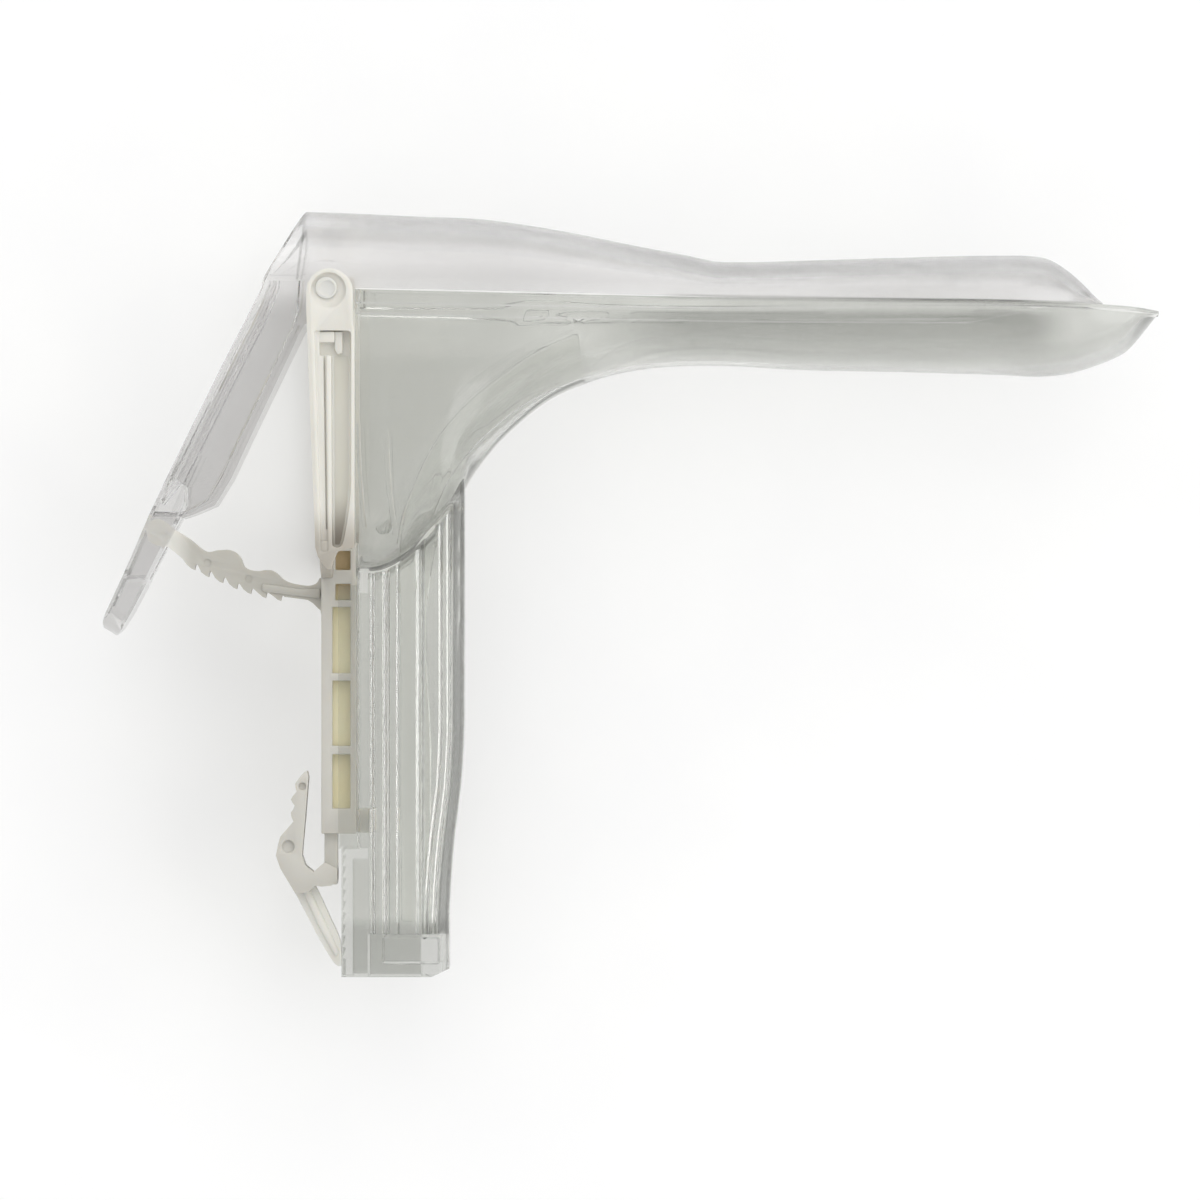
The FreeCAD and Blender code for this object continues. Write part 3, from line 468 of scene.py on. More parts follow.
# %% Lower blade and funnel
RIM = ([357, 720, 1101, 1130, 1158], [292, 299, 306, 308, 311.5])
FLANGE = ([357, 720, 1100, 1140, 1158], [304.5, 309, 309.5, 312, 313])
FLOOR = (
    [357, 383, 401, 415, 433, 445, 455, 465, 490, 520, 550, 580, 610, 640, 680, 720, 800, 900,
     1000, 1045, 1070, 1095, 1112, 1127, 1139, 1150, 1158],
    [580, 579, 571, 561, 540, 527, 512, 490, 453, 423, 400, 386, 376, 370, 366.5, 366, 370, 372,
     375, 376.5, 373.5, 366, 359.5, 351, 338, 324, 314],
)
LOWER_HALF = (
    [-6.4, 0.5, 6, 12, 20.5, 32, 48, 84, 107, 117.5, 123.2, 125.7],
    [20.0, 18.9, 18.0, 16.9, 15.3, 13.7, 12.7, 13.4, 14.0, 11.4, 7.4, 3.4],
)
WALL = 1.5 * MM
LIP = 0.55 * MM
MOUTH_LIP = 0.95 * MM
MOUTH_END = -5.7 * MM
LIP_END = 126.2 * MM
BAND = 3.5 * MM
BAND_END = 106 * MM
BAND_FADE = 12 * MM
BEAD = 0.3 * MM


def read_line(line, places):
    """A line of the photograph worked out at places along X, in metres."""
    return (FOOT[1] - through(*line, places / PIXEL + FOOT[0])) * PIXEL


def squareness_of(depth, half):
    """How square a section is: 0.95 where it is a shallow arc and 0.55 in the tall funnel."""
    tall = min(1.0, max(0.0, (depth / half - 0.9) / 1.3))
    return 0.95 - 0.4 * tall


def arch(half, straight, depth, squareness, turns):
    """A round floor under two upright sides: places across the width and depths below the rim."""
    across = half * np.sign(np.cos(turns)) * np.abs(np.cos(turns)) ** squareness
    down = straight + (depth - straight) * np.sin(turns) ** squareness
    return across, down


def lower_section(place, rim, flange, floor, half, slope, turns):
    """One closed U-shaped section of the lower half."""
    depth = rim - floor
    squareness = squareness_of(depth, half)
    edge = rim - flange
    lip = LIP if place > MOUTH_END else MOUTH_LIP
    lip *= min(1.0, (LIP_END - place) / (20 * MM))
    fade = min(1.0, max(0.0, (BAND_END - place) / BAND_FADE))
    band = edge + 0.35 * MM + fade * (BAND - edge)
    ledge = 0.05 * MM + 0.2 * MM * fade
    across, down = arch(half, band + 0.2 * MM * fade, depth, squareness, turns)
    wall = min(WALL, 0.45 * half)
    under = min(WALL * math.hypot(1, slope), WALL * 1.7, 0.5 * depth)
    inside = half - wall
    across_in, down_in = arch(inside, edge + 0.6 * MM, depth - under, squareness, turns)
    bead = BEAD * fade * np.exp(-((down_in - edge - 1.9 * MM) / (0.5 * MM)) ** 2)
    across_in = across_in - np.sign(across_in) * bead
    right = [(inside + 0.15 * MM, 0.0), (half + lip - 0.25 * MM, 0.0), (half + lip, 0.2 * MM)]
    right += [(half + lip, edge), (half + ledge + 0.05 * MM, edge + 0.25 * MM), (half + ledge, band)]
    left = [(-a, d) for a, d in reversed(right)]
    loop = right + list(zip(across, down)) + left + list(zip(across_in[::-1], down_in[::-1]))
    return [(place, rim - d, a) for a, d in loop]


turns = np.linspace(0, math.pi, 61)
start, finish = -6.4 * MM, 125.7 * MM
places = np.concatenate([
    start + np.array([0, 0.5, 0.65, 1.0]) * MM,
    np.linspace(start + 1.6 * MM, 30 * MM, 46),
    np.linspace(31.5 * MM, 100 * MM, 34),
    finish - 25 * MM * np.linspace(1, 0, 26)[1:] ** 1.5,
])
rims, flanges, floors = (read_line(line, places) for line in (RIM, FLANGE, FLOOR))
halves = through(*LOWER_HALF, places / MM) * MM
slopes = np.gradient(floors, places)
sections = [lower_section(*row, turns) for row in zip(places, rims, flanges, floors, halves, slopes)]
lower = ring_piece("lower_moulding", sections)
print("lower sections", len(sections), "of", len(sections[0]), "points")

# %% [markdown]
# The grip is a hollow box with rounded front corners that tapers to the foot, so a light can be pushed up
# inside it. Upright ribs inside its side walls are what draws the bright lines down it in the photograph.
# It is raised section by section, then cut to fit under the funnel and joined to it.

# %% Hollow grip
def grip_outline(back, front, half, radius):
    """A box section, round at its two front corners and slightly at the back."""
    corners = []
    for x, z, size, first in (
        (front - radius, half - radius, radius, 0),
        (back + 0.5 * MM, half - 0.5 * MM, 0.5 * MM, 90),
        (back + 0.5 * MM, -half + 0.5 * MM, 0.5 * MM, 180),
        (front - radius, -half + radius, radius, 270),
    ):
        for turn in np.radians(np.linspace(first, first + 90, 7)):
            corners.append((x + size * math.cos(turn), z + size * math.sin(turn)))
    return corners


def grip_hollow(back, front, half):
    """The hollow inside, with round-topped ribs that stand out from both side walls."""
    ribs = [(front - 0.9 * MM, 0.5, 0.4), (front - 2.2 * MM, 0.45, 0.4), (4.1 * MM, 0.9, 0.75),
            (0.4 * MM, 0.35, 0.35), (-1.5 * MM, 0.7, 0.65), (-3.7 * MM, 0.5, 0.35)]
    side = []
    fixed = np.linspace(5.3 * MM, back, 80)
    for x in np.concatenate([np.linspace(front - 0.3 * MM, front - 2.9 * MM, 34), fixed]):
        rise = 0.0
        for centre, half_width, height in ribs:
            away = abs(x - centre) / (half_width * MM)
            rise += height * MM * (0.5 + 0.5 * math.cos(math.pi * away)) if away < 1 else 0.0
        side.append((x, half - rise))
    right = [(front, half - MM)] + side
    return right + [(x, -z) for x, z in reversed(right)]


GRIP_FRONT = ([0, 7.4, 15, 24, 32, 42, 60, 90], [8.9, 8.9, 9.15, 9.9, 10.9, 11.4, 11.4, 11.4])


def grip_front(height):
    return float(through(*GRIP_FRONT, height / MM) * MM)


outer_rings = []
inner_rings = []
for level in (0, 7.4, 11, 15, 19, 24, 28, 32, 37, 42, 88):
    corners = grip_outline(-6.1 * MM, grip_front(level * MM), 12 * MM, 2.4 * MM)
    outer_rings.append([(x, level * MM, z) for x, z in corners])
    height = (level - 1 if level < 80 else 90) * MM
    corners = grip_hollow(-4.4 * MM, grip_front(level * MM) - 1.7 * MM, 10.3 * MM)
    inner_rings.append([(x, height, z) for x, z in corners])
grip = ring_piece("grip", outer_rings)
join(grip, block("foot_back", (-8.75 * MM, 0, -12 * MM), (-5.5 * MM, 21 * MM, 12 * MM)))
hollow = ring_piece("hollow", inner_rings)
carve(grip, hollow, block("slide_slot", (-9 * MM, 21 * MM, -2.3 * MM), (-4 * MM, 63 * MM, 2.3 * MM)))

core = []
for place, rim, flange, floor, half, slope in zip(places, rims, flanges, floors, halves, slopes):
    inset = 0.4 * MM
    depth = rim - floor - inset * min(math.hypot(1, slope), 2)
    across, down = arch(half - inset, 2 * MM, depth, squareness_of(rim - floor, half), turns)
    core.append([(place, rim - d, a) for a, d in zip(across, down)])
carve(grip, ring_piece("funnel_core", [ring for ring in core if ring[0][0] < 30 * MM]))
print("grip points", len(grip.data.vertices))

# %% [markdown]
# Inside the foot a collar holds the light, a shallow window is sunk in each side face, and a rack of small
# sawteeth runs up the back, where the latch's foot clicks along. The front corner is cut back a little.

# %% Foot
join(grip, block("collar", (-5 * MM, 0, -10.8 * MM), (7.8 * MM, 7 * MM, 10.8 * MM)))
carve(grip, block("socket", (-4.2 * MM, -MM, -7 * MM), (4.2 * MM, 8 * MM, 7 * MM)))
for side in (1, -1):
    low_z, high_z = reach(side, 11.4, 13)
    window = block("window", (-2.1 * MM, 2.1 * MM, low_z), (7.4 * MM, 6.6 * MM, high_z))
    soften(window, 0.4 * MM)
    carve(grip, window)
    low_z, high_z = reach(side, 9.4, 10.8)
    for rib in (0.1, 2.1, 4.1, 6.1):
        rib_low, rib_high = (rib - 0.25) * MM, (rib + 0.25) * MM
        join(grip, block("short_rib", (rib_low, 6.5 * MM, low_z), (rib_high, 8.9 * MM, high_z)))
carve(grip, block("foot_hollow", (-6.95 * MM, -MM, -10.3 * MM), (-4.5 * MM, 19.3 * MM, 10.3 * MM)))
corner = spots([(452, 966), (452, 980), (430, 980), (430, 976)])
carve(grip, plate("corner", corner, -13 * MM, 13 * MM))
for side in (1, -1):
    low_z, high_z = reach(side, 9.4, 10.8)
    join(grip, block("stop", (MM, 63.6 * MM, low_z), (3.6 * MM, 65.2 * MM, high_z)))
carve(grip, block("rack_bed", (-9 * MM, -MM, -3 * MM), (-7.65 * MM, 22 * MM, 3 * MM)))
rack = [(-7.6 * MM, 21 * MM), (-7.6 * MM, 0), (-8.2 * MM, 0)]
for tooth in range(10):
    crest = (2.9 + 1.9 * tooth) * MM
    rack += [(-8.2 * MM, crest - 0.2 * MM), (-8.7 * MM, crest)]
join(grip, plate("rack", rack + [(-8.2 * MM, 21 * MM)], -3.1 * MM, 3.1 * MM))
for side in (1, -1):
    low_z, high_z = reach(side, 6.1, 7.5)
    join(grip, block("guide_rail", (-9.4 * MM, 21 * MM, low_z), (-5.2 * MM, 64.3 * MM, high_z)))
join(lower, grip)
print("lower half with its grip", len(lower.data.vertices))

# %% [markdown]
# The light guide is a clear bar that rises from the foot and bends along the funnel's floor. Its upper face
# shows as the long curved line inside the funnel, and its flat end as the short upright line at the
# throat. It is one outline raised to the bar's width, in a lighter plastic because it has to carry light.

# %% Light guide
guide_inner = curve([(401, 921), (401, 700), (401, 560), (403, 528), (415, 490), (440, 440), (475, 400),
                     (508, 374), (545, 350), (579, 337)], 70)
guide_outer = curve([(583, 380), (550, 396), (520, 418), (492, 447), (467, 484), (450, 515), (437, 545),
                     (430, 580), (430, 750), (430, 921)], 70)
guide = plate("guide_bar", spots([*guide_inner, *guide_outer]), -4 * MM, 4 * MM)
soften(guide, 0.35 * MM, 60)
dress(guide, clear_guide, "lower_half", ("light_guide",))

# %% [markdown]
# The funnel's sides carry fine marks: two round ones where the mould's pins pushed the piece out, two
# bright upright streaks, and the edges of the guide inside. They could be painted on, but low ridges on
# the skin bend the light as the real ones do, so each is a thin round line laid on the funnel's side.

# %% Marks on the funnel
UPRIGHT_PART = 4.1 * MM


def side_at(x, y):
    """How far out the funnel's side stands at a place."""
    rim, floor = read_line(RIM, np.array([x]))[0], read_line(FLOOR, np.array([x]))[0]
    half = through(*LOWER_HALF, [x / MM])[0] * MM
    squareness = squareness_of(rim - floor, half)
    share = min(1.0, max(0.0, (rim - y - UPRIGHT_PART) / (rim - floor - UPRIGHT_PART)))
    rise = share ** (1 / squareness)
    return half * (1 - rise * rise) ** (squareness / 2)


def raised_line(path, width, height):
    """A low round line that follows the funnel's side along a path of the photograph."""
    line = curve(spots(path), 6 * len(path))
    ahead = np.gradient(line, axis=0)
    ahead /= np.linalg.norm(ahead, axis=1)[:, None]
    for side in (1, -1):
        rings = []
        for index, ((x, y), (run_x, run_y)) in enumerate(zip(line, ahead)):
            ends = min(1.0, 0.15 + min(index, len(line) - 1 - index) / 4)
            ring = []
            for turn in np.linspace(0, 2 * math.pi, 14, endpoint=False):
                away, up = width / 2 * math.cos(turn), height * ends * math.sin(turn)
                px, py = x - run_y * away, y + run_x * away
                ring.append((px, py, side * (side_at(px, py) + up)))
            rings.append(ring)
        join(lower, ring_piece("raised_line", rings))


for centre in ((396, 408), (386, 527)):
    x, y = spot(*centre)
    outside = side_at(x, y)
    ring = disc("ring", (x, y), 1.45 * MM, outside - MM, outside + 0.3 * MM)
    soften(ring, 0.2 * MM)
    join(lower, ring)
    dimple = disc("dimple", (x, y), 0.95 * MM, outside - 0.15 * MM, outside + 2 * MM)
    carve(lower, dimple)
raised_line([(360.5, 425), (361.5, 460), (364, 500), (366.5, 528)], 0.7 * MM, 0.16 * MM)
raised_line([(388, 432), (389, 460), (392, 500), (397, 535)], 0.9 * MM, 0.16 * MM)
guide_edge = [(399, 545), (404, 518), (415, 489), (439, 441), (474, 401), (508, 374), (545, 350), (576, 337)]
raised_line(guide_edge, 0.4 * MM, 0.14 * MM)
raised_line([(433, 520), (448, 486), (476, 447), (506, 420), (535, 400), (562, 388)], 0.4 * MM, 0.1 * MM)
lower_nodes = ("lower_blade", "handle_shell", "base_collar", "detent_rack")
dress(lower, clear_lower, "lower_half", lower_nodes, angle=20)

# %% [markdown]
# The upper blade is a roof over the trough. At the back it ends in a slanted cut, which the thumb lever
# carries on, so its first sections lean with the cut and the later ones stand upright.
# Near the yoke a fine bright slit stays between its edge and the lower blade's rim, and further along the
# edge comes down to the rim, where the photograph shows one dark line; the plastic's tint draws that line as
# painted shadow.

# %% Upper blade
EDGE = ([240, 355, 500, 620, 720, 900, 1100, 1104], [289, 290, 292.8, 295.6, 298.6, 302, 305.6, 305.7])
ROOF = (
    [240, 307, 420, 480, 530, 560, 640, 690, 715, 740, 800, 900, 1000, 1030, 1048, 1060, 1075,
     1088, 1097, 1102],
    [211, 212, 217, 219.5, 226, 231, 247, 256.5, 261.8, 262.5, 261, 258, 256, 256.5, 259.5, 266, 277.5,
     290, 299, 303],
)
UPPER_HALF = (
    [-26, -3, 14, 27, 40, 53.5, 67, 84, 105.5, 112, 115.5, 116.5],
    [16.7, 16.6, 15.9, 14.4, 13.2, 12.7, 12.9, 13.4, 13.6, 9.6, 5.0, 3.2],
)


def upper_section(lean, plane, inset):
    """Points over the roof from edge to edge; lean is 1 on the slanted cut and 0 on an upright plane."""
    rear_edge, rear_top = spot(264.7, 290)[0], spot(307, 212)[0]
    rise = np.sin(turns) ** 0.85
    x = lean * (rear_edge + rise * (rear_top - rear_edge)) + (1 - lean) * plane
    edge, roof = read_line(EDGE, x), read_line(ROOF, x)
    half = through(*UPPER_HALF, x / MM) * MM
    wall = np.minimum(inset, 0.4 * half)
    under = np.minimum(inset * 1.15, 0.5 * (roof - edge))
    half = half - wall
    top = roof - under
    straight = np.minimum(1.2 * MM, 0.3 * (top - edge))
    across = half * np.sign(np.cos(turns)) * np.abs(np.cos(turns)) ** 0.85
    height = edge + (straight + (top - edge - straight) * rise) * (rise > 0)
    return np.stack([x, height, across], axis=1)


def upper_ring(lean, plane):
    outside = upper_section(lean, plane, 0)
    inside = upper_section(lean, plane, 1.5 * MM)
    tall = min(0.9 * MM, 0.3 * (outside[:, 1].max() - outside[0, 1]))
    bead = [outside[0] + (0, tall, 0.1 * MM), outside[0] + (0, 0, 0.1 * MM)]
    bead_left = [outside[-1] + (0, 0, -0.1 * MM), outside[-1] + (0, tall, -0.1 * MM)]
    return [*reversed(inside), bead[1], bead[0], *outside[1:-1], bead_left[1], bead_left[0]]


rings = [upper_ring(1 - step, 8 * MM) for step in np.linspace(0, 0.97, 24)]
tip = spot(1102, 300)[0]
closing = tip - (tip - 97 * MM) * np.linspace(1, 0, 26) ** 1.5
planes = np.concatenate([np.linspace(8 * MM, 95 * MM, 44), closing])
rings += [upper_ring(0, plane) for plane in planes]
upper = ring_piece("upper_moulding", rings)
print("upper sections", len(rings))

# %% [markdown]
# The thumb lever is two channel-shaped rails that lean in towards the tab. Each rail has a deeper flange
# along its back edge, a bead beside it and a raised band along its front edge, which show as the long
# lines down it. One section is drawn once and set at each height between the rail's two edges. Round
# the pivot an ear and a pin stand out on each side, and they are joined to the rail as one moulding.

# %% Thumb lever
LEVER = [
    ((268, 283), (309, 283)), ((262, 294), (309, 300)), ((253, 312), (309, 316)), ((246, 326), (306, 327)),
    ((240, 337), (300, 339)), ((222, 372), (281, 379)), ((200, 416), (257, 429)), ((178, 460), (233, 480)),
    ((169, 478), (217, 506)), ((163, 491), (196, 515)), ((160, 497), (184, 519)),
]
RAIL = [
    (1, 0), (0.84, 0), (0.81, 0.3), (0.25, 0.3), (0.22, 0), (0.17, 0), (0.14, 0.3), (0.03, 0.3), (0, 0.6),
    (0, 4.2), (0.1, 4.2), (0.13, 1.9), (0.8, 1.9), (0.84, 2.3), (1, 2.3),
]


def lever_half(height):
    return np.interp(height, [76 * MM, 109 * MM], [11.6 * MM, 16.7 * MM])


def rail_piece(side):
    rings = []
    for back, front in LEVER:
        back, front = (np.array(spot(*end)) for end in (back, front))
        ring = []
        for share, depth in RAIL:
            x, y = back + (front - back) * share
            ring.append((x, y, side * (lever_half(y) - depth * MM)))
        rings.append(ring)
    return ring_piece("rail", rings)


pivot = spot(328.7, 290.6)
for side in (1, -1):
    low_z, high_z = reach(side, 14.9, 16.7)
    ear = disc("ear", pivot, 4.7 * MM, low_z, high_z)
    web = spots([(300, 280), (352, 280), (352, 294), (342, 312), (318, 318), (309, 326), (296, 328)])
    join(ear, plate("web", web, low_z, high_z))
    pin = disc("pin", pivot, 1.6 * MM, *reach(side, 15, 20.35))
    soften(pin, 0.25 * MM)
    join(ear, pin)
    join(upper, rail_piece(side), ear)
print("lever points", len(upper.data.vertices))

# %% [markdown]
# The tab is the solid end that the thumb presses, with a rounded tip and a step in its front face.
# Its sections get narrower towards the tip, which rounds it without a separate cut.
# The ratchet arm runs through the slot in its middle, and the slot leaves room for it at every pose.

# %% Thumb tab
TAB = [
    ((171, 474), (190, 488), 12.2), ((166, 485), (190, 505), 12.0), ((158, 501), (181, 521), 11.6),
    ((151, 516), (175, 532), 11.6), ((142, 537), (166, 549), 11.6), ((133, 558), (156, 568), 11.6),
    ((128, 569), (151, 578), 11.6), ((126.5, 573), (149, 583), 11.6), ((118, 591), (139, 602), 11.6),
    ((112, 604), (132, 615), 11.2), ((108, 612), (127, 623), 10.2), ((105, 619), (123.5, 629), 8.4),
    ((104, 623.5), (120, 633), 6.2), ((104.8, 627.5), (117, 635), 4.0),
]
TAB_SECTION = [(0.12, 1), (0, 0.96), (0, -0.96), (0.12, -1), (0.88, -1), (1, -0.96), (1, 0.96), (0.88, 1)]
tab_rings = []
for back, front, half in TAB:
    (back_x, back_y), (front_x, front_y) = spot(*back), spot(*front)
    ring = []
    for share, width in TAB_SECTION:
        x, y = back_x + (front_x - back_x) * share, back_y + (front_y - back_y) * share
        ring.append((x, y, width * half * MM))
    tab_rings.append(ring)
tab = ring_piece("tab", tab_rings)
slot = block("tab_slot", (-50 * MM, 65.2 * MM, -3.5 * MM), (-20 * MM, 76.5 * MM, 3.5 * MM))
soften(slot, 0.8 * MM)
carve(tab, slot)
join(upper, tab)
upper_nodes = (
    "upper_blade", "lever_rail_right", "lever_rail_left", "thumb_tab", "hinge_pin_right", "hinge_pin_left",
)
dress(upper, clear_upper, "upper_half", upper_nodes, angle=20)

# %% [markdown]
# The yoke's arms are channels: a deep pocket and a shallow track between raised edges, a round head with
# a recess over the hinge pin, and a small block and hook under the head where the mould's slide closed.
# They are cut out of one solid and then softened all round, as a mould leaves them.
# The pocket's floor is a panel of its own, which carries painted shade: it goes dark brown towards the lower
# end, where the arm curves in away from the light.

# %% Yoke arms
HEAD = (332, 294.5)
head_x, head_y = spot(*HEAD)
head = [(head_x + 23 * PIXEL * math.cos(turn), head_y + 23 * PIXEL * math.sin(turn))
        for turn in np.linspace(0, math.pi, 28)]
arm_outline = head + spots([
    (309, 313), (311, 365), (318, 548), (320.5, 557), (325, 564), (329, 569), (334, 570), (336, 561),
    (340, 552), (346, 550), (356.5, 548), (356.5, 331), (355, 325),
])
POCKET = [
    (333.5, 333), (353.5, 333), (353.5, 486), (352, 506), (349.5, 524), (346.5, 540), (344, 548),
    (334.5, 548),
]
POCKET_SHADE_OUTLINE = [(333, 358), (354, 358), (354, 549), (334, 549)]
HOOK = [(337, 334), (345, 334), (345, 355), (340, 357), (337, 352)]


def arm_piece(name, side):
    def layer(label, corners, low, high, width=0.0):
        made = plate(label, corners, *reach(side, low, high))
        if width:
            soften(made, width * MM)
        return made

    arm = layer(name, arm_outline, 17.0, 21.0)
    pocket = layer("pocket", spots(POCKET), 19.0, 22, 0.6)
    track = layer("track", spots([(317, 333), (329, 333), (331, 552), (323.5, 552)]), 20.55, 22, 0.3)
    groove = layer("groove", spots([(325.8, 340), (327.6, 340), (330, 530), (328.4, 530)]), 19.9, 22)
    gate = layer("gate", spots([(322, 333), (340, 333), (340, 358), (322, 358)]), 19.0, 22, 0.3)
    carve(arm, pocket, track, groove, gate)
    recess = (head_x - 1.0 * PIXEL, head_y + 1.5 * PIXEL)
    carve(arm, disc("eye_recess", recess, 17.5 * PIXEL, *reach(side, 20.3, 22)))
    carve(arm, disc("eye", pivot, 1.65 * MM, *reach(side, 16, 22)))
    join(arm, layer("block", spots([(321, 334), (337, 334), (337, 345), (321, 345)]), 18, 20.5, 0.2))
    join(arm, layer("hook", spots(HOOK), 18, 20, 0.2))
    soften(arm, 0.22 * MM)
    return arm


def eye_cap(name, side):
    """The thin skin that closes the eye over the pin, with the mark that the mould's core left."""
    cap = disc(name, pivot, 1.75 * MM, *reach(side, 20.42, 20.66))
    groove = disc("groove", (pivot[0] + 0.15 * MM, pivot[1] - 0.1 * MM), 1.25 * MM, *reach(side, 20.54, 21))
    carve(cap, groove)
    soften(cap, 0.05 * MM)
    return cap


for name, side in (("right", 1), ("left", -1)):
    # The arms' white is painted shade towards their lower end.
    dress(arm_piece(f"arm_{name}", side), white_yoke, "yoke", (f"yoke_arm_{name}",))
    dress(eye_cap(f"eye_cap_{name}", side), white_yoke, "yoke")
    # A panel of painted shade laid on the pocket's floor.
    floor = plate(f"pocket_shade_panel_{name}", spots(POCKET_SHADE_OUTLINE), *reach(side, 17.1, 19.05))
    dress(floor, pocket_painted_shade, "yoke")

# %% [markdown]
# A cross bar under the funnel's mouth ties the arms to the slide strip. It is tallest in the middle, where
# the strip hangs from it, and slimmer where the arms come in. It can hardly be seen from the side, so it
# is a plain row of sections that bow along its lower edge.

# %% Cross bar
bridge_rings = []
for share in np.linspace(-1, 1, 33):
    low_y = (65.4 + 4.2 * abs(share) ** 3) * MM
    corners = [(-12.2 * MM, low_y), (-10.3 * MM, low_y), (-10.3 * MM, 71.6 * MM), (-12.2 * MM, 71.6 * MM)]
    bridge_rings.append([(x, y, share * 20.9 * MM) for x, y in corners])
bridge = ring_piece("cross_bar", bridge_rings)
soften(bridge, 0.3 * MM)
# The cross bar lies low enough to be all in the yoke white's painted shade.
dress(bridge, white_yoke, "yoke", ("yoke_bridge",))

# %% [markdown]
# The slide strip is a ladder: rungs and two long edges round a thin web. Its lower end is a solid block with
# a narrow tail, and a tongue on its front runs in the slot of the grip. The windows are cut from both sides,
# and the web is a thinner plate of its own between them, so that it can be tan, partly its own tone and
# partly painted shade of the recess.

# %% Slide strip
STRIP = [(322, 833), (357, 833), (357, 545), (323, 545), (322, 620)]
strip = plate("ladder_strip", spots(STRIP), -5.5 * MM, 5.5 * MM)
WINDOWS = [(551, 570), (584, 600), (607, 673), (680.5, 745.5), (754, 808)]
for side in (1, -1):
    for top, bottom in WINDOWS:
        left = 333 if top > 600 else 336
        corners = [(left, bottom), (351, bottom), (351, top), (left, top)]
        carve(strip, plate("window", spots(corners), *reach(side, 1.5, 7)))
join(strip, plate("tail", spots([(325, 884), (338, 884), (338, 825), (325, 825)]), -4 * MM, 4 * MM))
soften(strip, 0.2 * MM)
dress(strip, inner_white, "yoke", ("slide_strip",))
# The web's tan is partly painted shade of its recess.
web = plate("ladder_web", spots([(332, 809), (352, 809), (352, 550), (332, 550)]), -3.6 * MM, 3.6 * MM)
dress(web, tan_web, "yoke")
tongue = block("tongue", (-7 * MM, 23.6 * MM, -2 * MM), (-4 * MM, 27.6 * MM, 2 * MM))
join(tongue, block("tongue_head", (-4 * MM, 23.6 * MM, -3.5 * MM), (-3 * MM, 27.6 * MM, 3.5 * MM)))
soften(tongue, 0.15 * MM)
dress(tongue, leg_white, "yoke", ("slide_tongue",))
lug = plate("hinge_lug", spots([(321.5, 566), (326, 562), (326, 630), (321, 612)]), -3 * MM, 3 * MM)
soften(lug, 0.2 * MM)
dress(lug, inner_white, "yoke", ("ratchet_lug",))

# %% [markdown]
# The ratchet arm is a thin bar on a living hinge, with two humps on top, seven hooked teeth below,
# a raised rib near its root and a tip that stands inside the clear lever. Each tooth is the same small
# hook set at its own tip, and the whole outline is raised to the bar's width at once.

# %% Ratchet arm
TEETH = [(195, 570), (209, 577), (223, 583), (237, 589), (251, 594), (266, 598), (281, 601)]
ARM_TOP = [
    (150, 521), (160, 519), (176, 530), (190, 539), (211, 552), (217, 550.5), (223, 550), (230, 550),
    (236, 552.5), (241, 558), (245, 567), (260, 571), (266, 570), (272, 570.5), (278, 574), (283, 579),
    (301, 585), (311, 585.5), (316.5, 583.5), (320, 578),
]
HOOKED_TOOTH = [(3.2, -5.0), (1.6, -5.6), (0.6, -3), (0, 0), (-3.0, -1.2), (-7.5, -5.0)]
RIB = [(262, 583), (300, 588.5), (321, 588), (321, 599), (296, 596), (262, 592)]
arm_top = curve(ARM_TOP, 80)
arm_bottom = [(321.5, 578), (321.5, 611), (318, 608), (313, 603), (308, 600), (294, 598), (285, 597)]
for x, y in reversed(TEETH):
    arm_bottom += [(x + across, y + down) for across, down in HOOKED_TOOTH]
arm_bottom += [(183, 559), (175, 552), (168, 547), (158, 546), (149, 541), (147, 530)]
ratchet = plate("toothed_arm", spots([*arm_top, *arm_bottom]), -2.4 * MM, 2.4 * MM)
for side in (1, -1):
    rib = plate("rib", spots(RIB), *reach(side, 2, 3))
    soften(rib, 0.5 * MM)
    join(ratchet, rib)
    for centre, radius in (((167, 538), 4.5), ((208, 563), 4), ((249, 579), 4)):
        carve(ratchet, disc("dot", spot(*centre), radius * PIXEL, *reach(side, 2.2, 3.2), 24))
soften(ratchet, 0.22 * MM)
dress(ratchet, toothed_white, "ratchet", ("ratchet_arm",))

# %% [markdown]
# The latch is a rocker on a living hinge at the end of the strip's tail. Its upper limb has finger
# serrations and its lower limb ends in the foot that rests on the rack, with a ridge down its middle.
# Both limbs are flat outlines, as such a lever is moulded, with their hard edges rounded.

# %% Latch
upper_limb = spots([
    (338, 868), (338, 880), (332, 885), (322, 886), (316, 885), (308, 892), (296, 893), (281, 868),
    (276.5, 855), (279, 843), (281, 836), (288, 828), (294, 821), (292, 816.5), (291.5, 812), (294, 808.5),
    (295.3, 805), (293, 802), (291.5, 799), (294, 795), (297.3, 791), (296.2, 787), (296, 783), (300, 777),
    (305, 771.6), (307.5, 771), (309, 777), (306, 815), (302.5, 855), (306, 865), (314, 871.5), (320, 866),
    (325, 862),
])
latch = plate("rocker", upper_limb, -5 * MM, 5 * MM)
for side in (1, -1):
    for centre, radius in (((289, 846), 6.5), ((303, 786), 4)):
        carve(latch, disc("dimple", spot(*centre), radius * PIXEL, *reach(side, 4.4, 6)))
soften(latch, 0.25 * MM)
dress(latch, inner_white, "latch", ("latch_lever",))
LOWER_LIMB = [
    (277, 856), (293, 888), (311, 922), (321, 941), (330, 956), (334, 962), (338, 965.5), (341.5, 966),
]
RIDGE = [(298, 880), (306, 880), (328, 926), (340, 952), (336, 957), (318, 924)]
lower_limb = curve(LOWER_LIMB, 40)
inner_limb = curve([(342, 955), (341, 943), (330, 916), (316, 886), (306, 868), (290, 856)], 30)
foot = plate("rocker_leg", spots([*lower_limb, *inner_limb]), -2.5 * MM, 2.5 * MM)
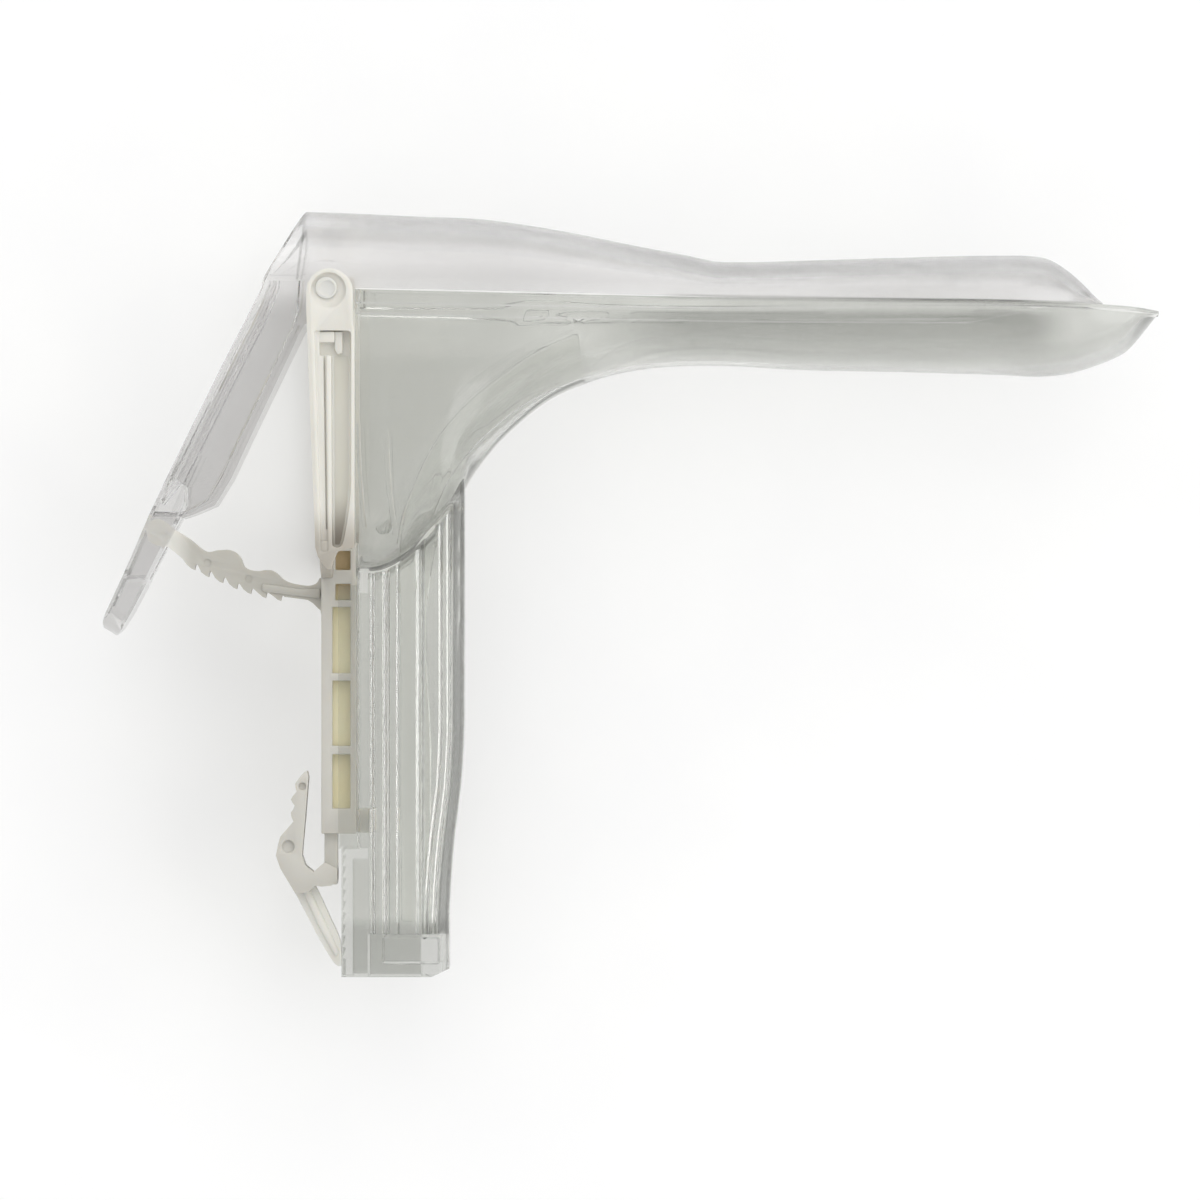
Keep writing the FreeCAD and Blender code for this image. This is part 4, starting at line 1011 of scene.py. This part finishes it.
for side in (1, -1):
    ridge = plate("ridge", spots(RIDGE), *reach(side, 2, 3.1))
    soften(ridge, 0.4 * MM)
    join(foot, ridge)
soften(foot, 0.3 * MM)
dress(foot, leg_white, "latch", ("latch_foot",))

# %% [markdown]
# The photograph was taken on a white table that hardly shows but for its soft shadows. The table is a
# plain pale slab under the object's resting side. The camera, reflections and bent rays see a little
# glow added to it, so that it reads as white, while the object gets no light from that glow.

# %% Table
RESTING_SIDE = -21.05 * MM
TABLE_GLOW = 0.05


def plain_table():
    material, tree, output, table = start_material("white_table")
    paper = between(tree, noise(tree, 30, 2), (0.93, 0.93, 0.93), (0.95, 0.95, 0.945))
    tree.links.new(paper, table.inputs["Base Color"])
    table.inputs["Roughness"].default_value = 0.9
    path = tree.nodes.new("ShaderNodeLightPath")
    seen = arithmetic(tree, "MAXIMUM", path.outputs["Is Camera Ray"], path.outputs["Is Glossy Ray"])
    seen = arithmetic(tree, "MAXIMUM", seen, path.outputs["Is Transmission Ray"])
    glow = tree.nodes.new("ShaderNodeEmission")
    tree.links.new(arithmetic(tree, "MULTIPLY", seen, TABLE_GLOW), glow.inputs["Strength"])
    both = tree.nodes.new("ShaderNodeAddShader")
    tree.links.new(table.outputs["BSDF"], both.inputs[0])
    tree.links.new(glow.outputs["Emission"], both.inputs[1])
    tree.links.new(both.outputs["Shader"], output.inputs["Surface"])
    return material


table = plate("table", [(-3, -3), (3, -3), (3, 3), (-3, 3)], -0.05, RESTING_SIDE)
table.data.materials.append(plain_table())
print("table top at", RESTING_SIDE)

# %% [markdown]
# The room is what clear plastic shows in its bends and edges, so an even grey one would look flat. It is
# brightest up and to the right, as the shadows of the photograph say, and dims towards the other side.
# The camera itself sees plain white beyond the table.

# %% Room
BRIGHT_SIDE = (0.45, 0.36, 0.82)
world = bpy.data.worlds.new("studio")
world.use_nodes = True
bpy.context.scene.world = world
sky = world.node_tree
sky.nodes.clear()
sky_output = sky.nodes.new("ShaderNodeOutputWorld")
room = sky.nodes.new("ShaderNodeBackground")
white = sky.nodes.new("ShaderNodeBackground")
white.inputs["Color"].default_value = (1, 1, 1, 1)
direction = sky.nodes.new("ShaderNodeTexCoord")
facing = sky.nodes.new("ShaderNodeVectorMath")
facing.operation = "DOT_PRODUCT"
facing.inputs[1].default_value = BRIGHT_SIDE
shades = sky.nodes.new("ShaderNodeMapRange")
for socket, number in (("From Min", -0.2), ("From Max", 0.8), ("To Min", 0.68), ("To Max", 1.1)):
    shades.inputs[socket].default_value = number
seen = sky.nodes.new("ShaderNodeLightPath")
pick = sky.nodes.new("ShaderNodeMixShader")
sky.links.new(direction.outputs["Generated"], facing.inputs[0])
sky.links.new(facing.outputs["Value"], shades.inputs["Value"])
sky.links.new(shades.outputs["Result"], room.inputs["Strength"])
sky.links.new(seen.outputs["Is Camera Ray"], pick.inputs["Fac"])
sky.links.new(room.outputs["Background"], pick.inputs[1])
sky.links.new(white.outputs["Background"], pick.inputs[2])
sky.links.new(pick.outputs["Shader"], sky_output.inputs["Surface"])
print("room brightest towards", BRIGHT_SIDE)

# %% [markdown]
# Two wide soft boxes, one to the right and one above, give the soft shadows to the left of the lever and
# below the blades. Small lamps would draw hard streaks in the ribs, so both are over fifty degrees wide.

# %% Lamps
SOFTBOX_STRENGTH = 0.72
SOFTBOX_WIDTH = math.radians(55)
for name, tilt in (("softbox_right", (0, 60, 0)), ("softbox_top", (-55, 0, 0))):
    lamp = bpy.data.lights.new(name, "SUN")
    lamp.energy = SOFTBOX_STRENGTH
    lamp.angle = SOFTBOX_WIDTH
    softbox = bpy.data.objects.new(name, lamp)
    softbox.rotation_euler = [math.radians(angle) for angle in tilt]
    bpy.context.scene.collection.objects.link(softbox)
print("soft boxes of strength", SOFTBOX_STRENGTH)

# %% [markdown]
# The camera looks straight down on the object's side. A long lens far away keeps the near and the far
# side in line, as in the photograph, and its height follows from the frame's width.

# %% Camera
PHOTO = 1200
camera_data = bpy.data.cameras.new("camera")
camera_data.lens = 400
camera_data.sensor_width = 36
camera_data.clip_end = 20
camera = bpy.data.objects.new("camera", camera_data)
frame_width = PHOTO * PIXEL
camera_x, camera_y = spot(PHOTO / 2, PHOTO / 2)
camera.location = (camera_x, camera_y, frame_width * camera_data.lens / camera_data.sensor_width)
bpy.context.scene.collection.objects.link(camera)
bpy.context.scene.camera = camera
bpy.context.scene.view_settings.view_transform = "Standard"
print("camera", [round(v, 3) for v in camera.location])
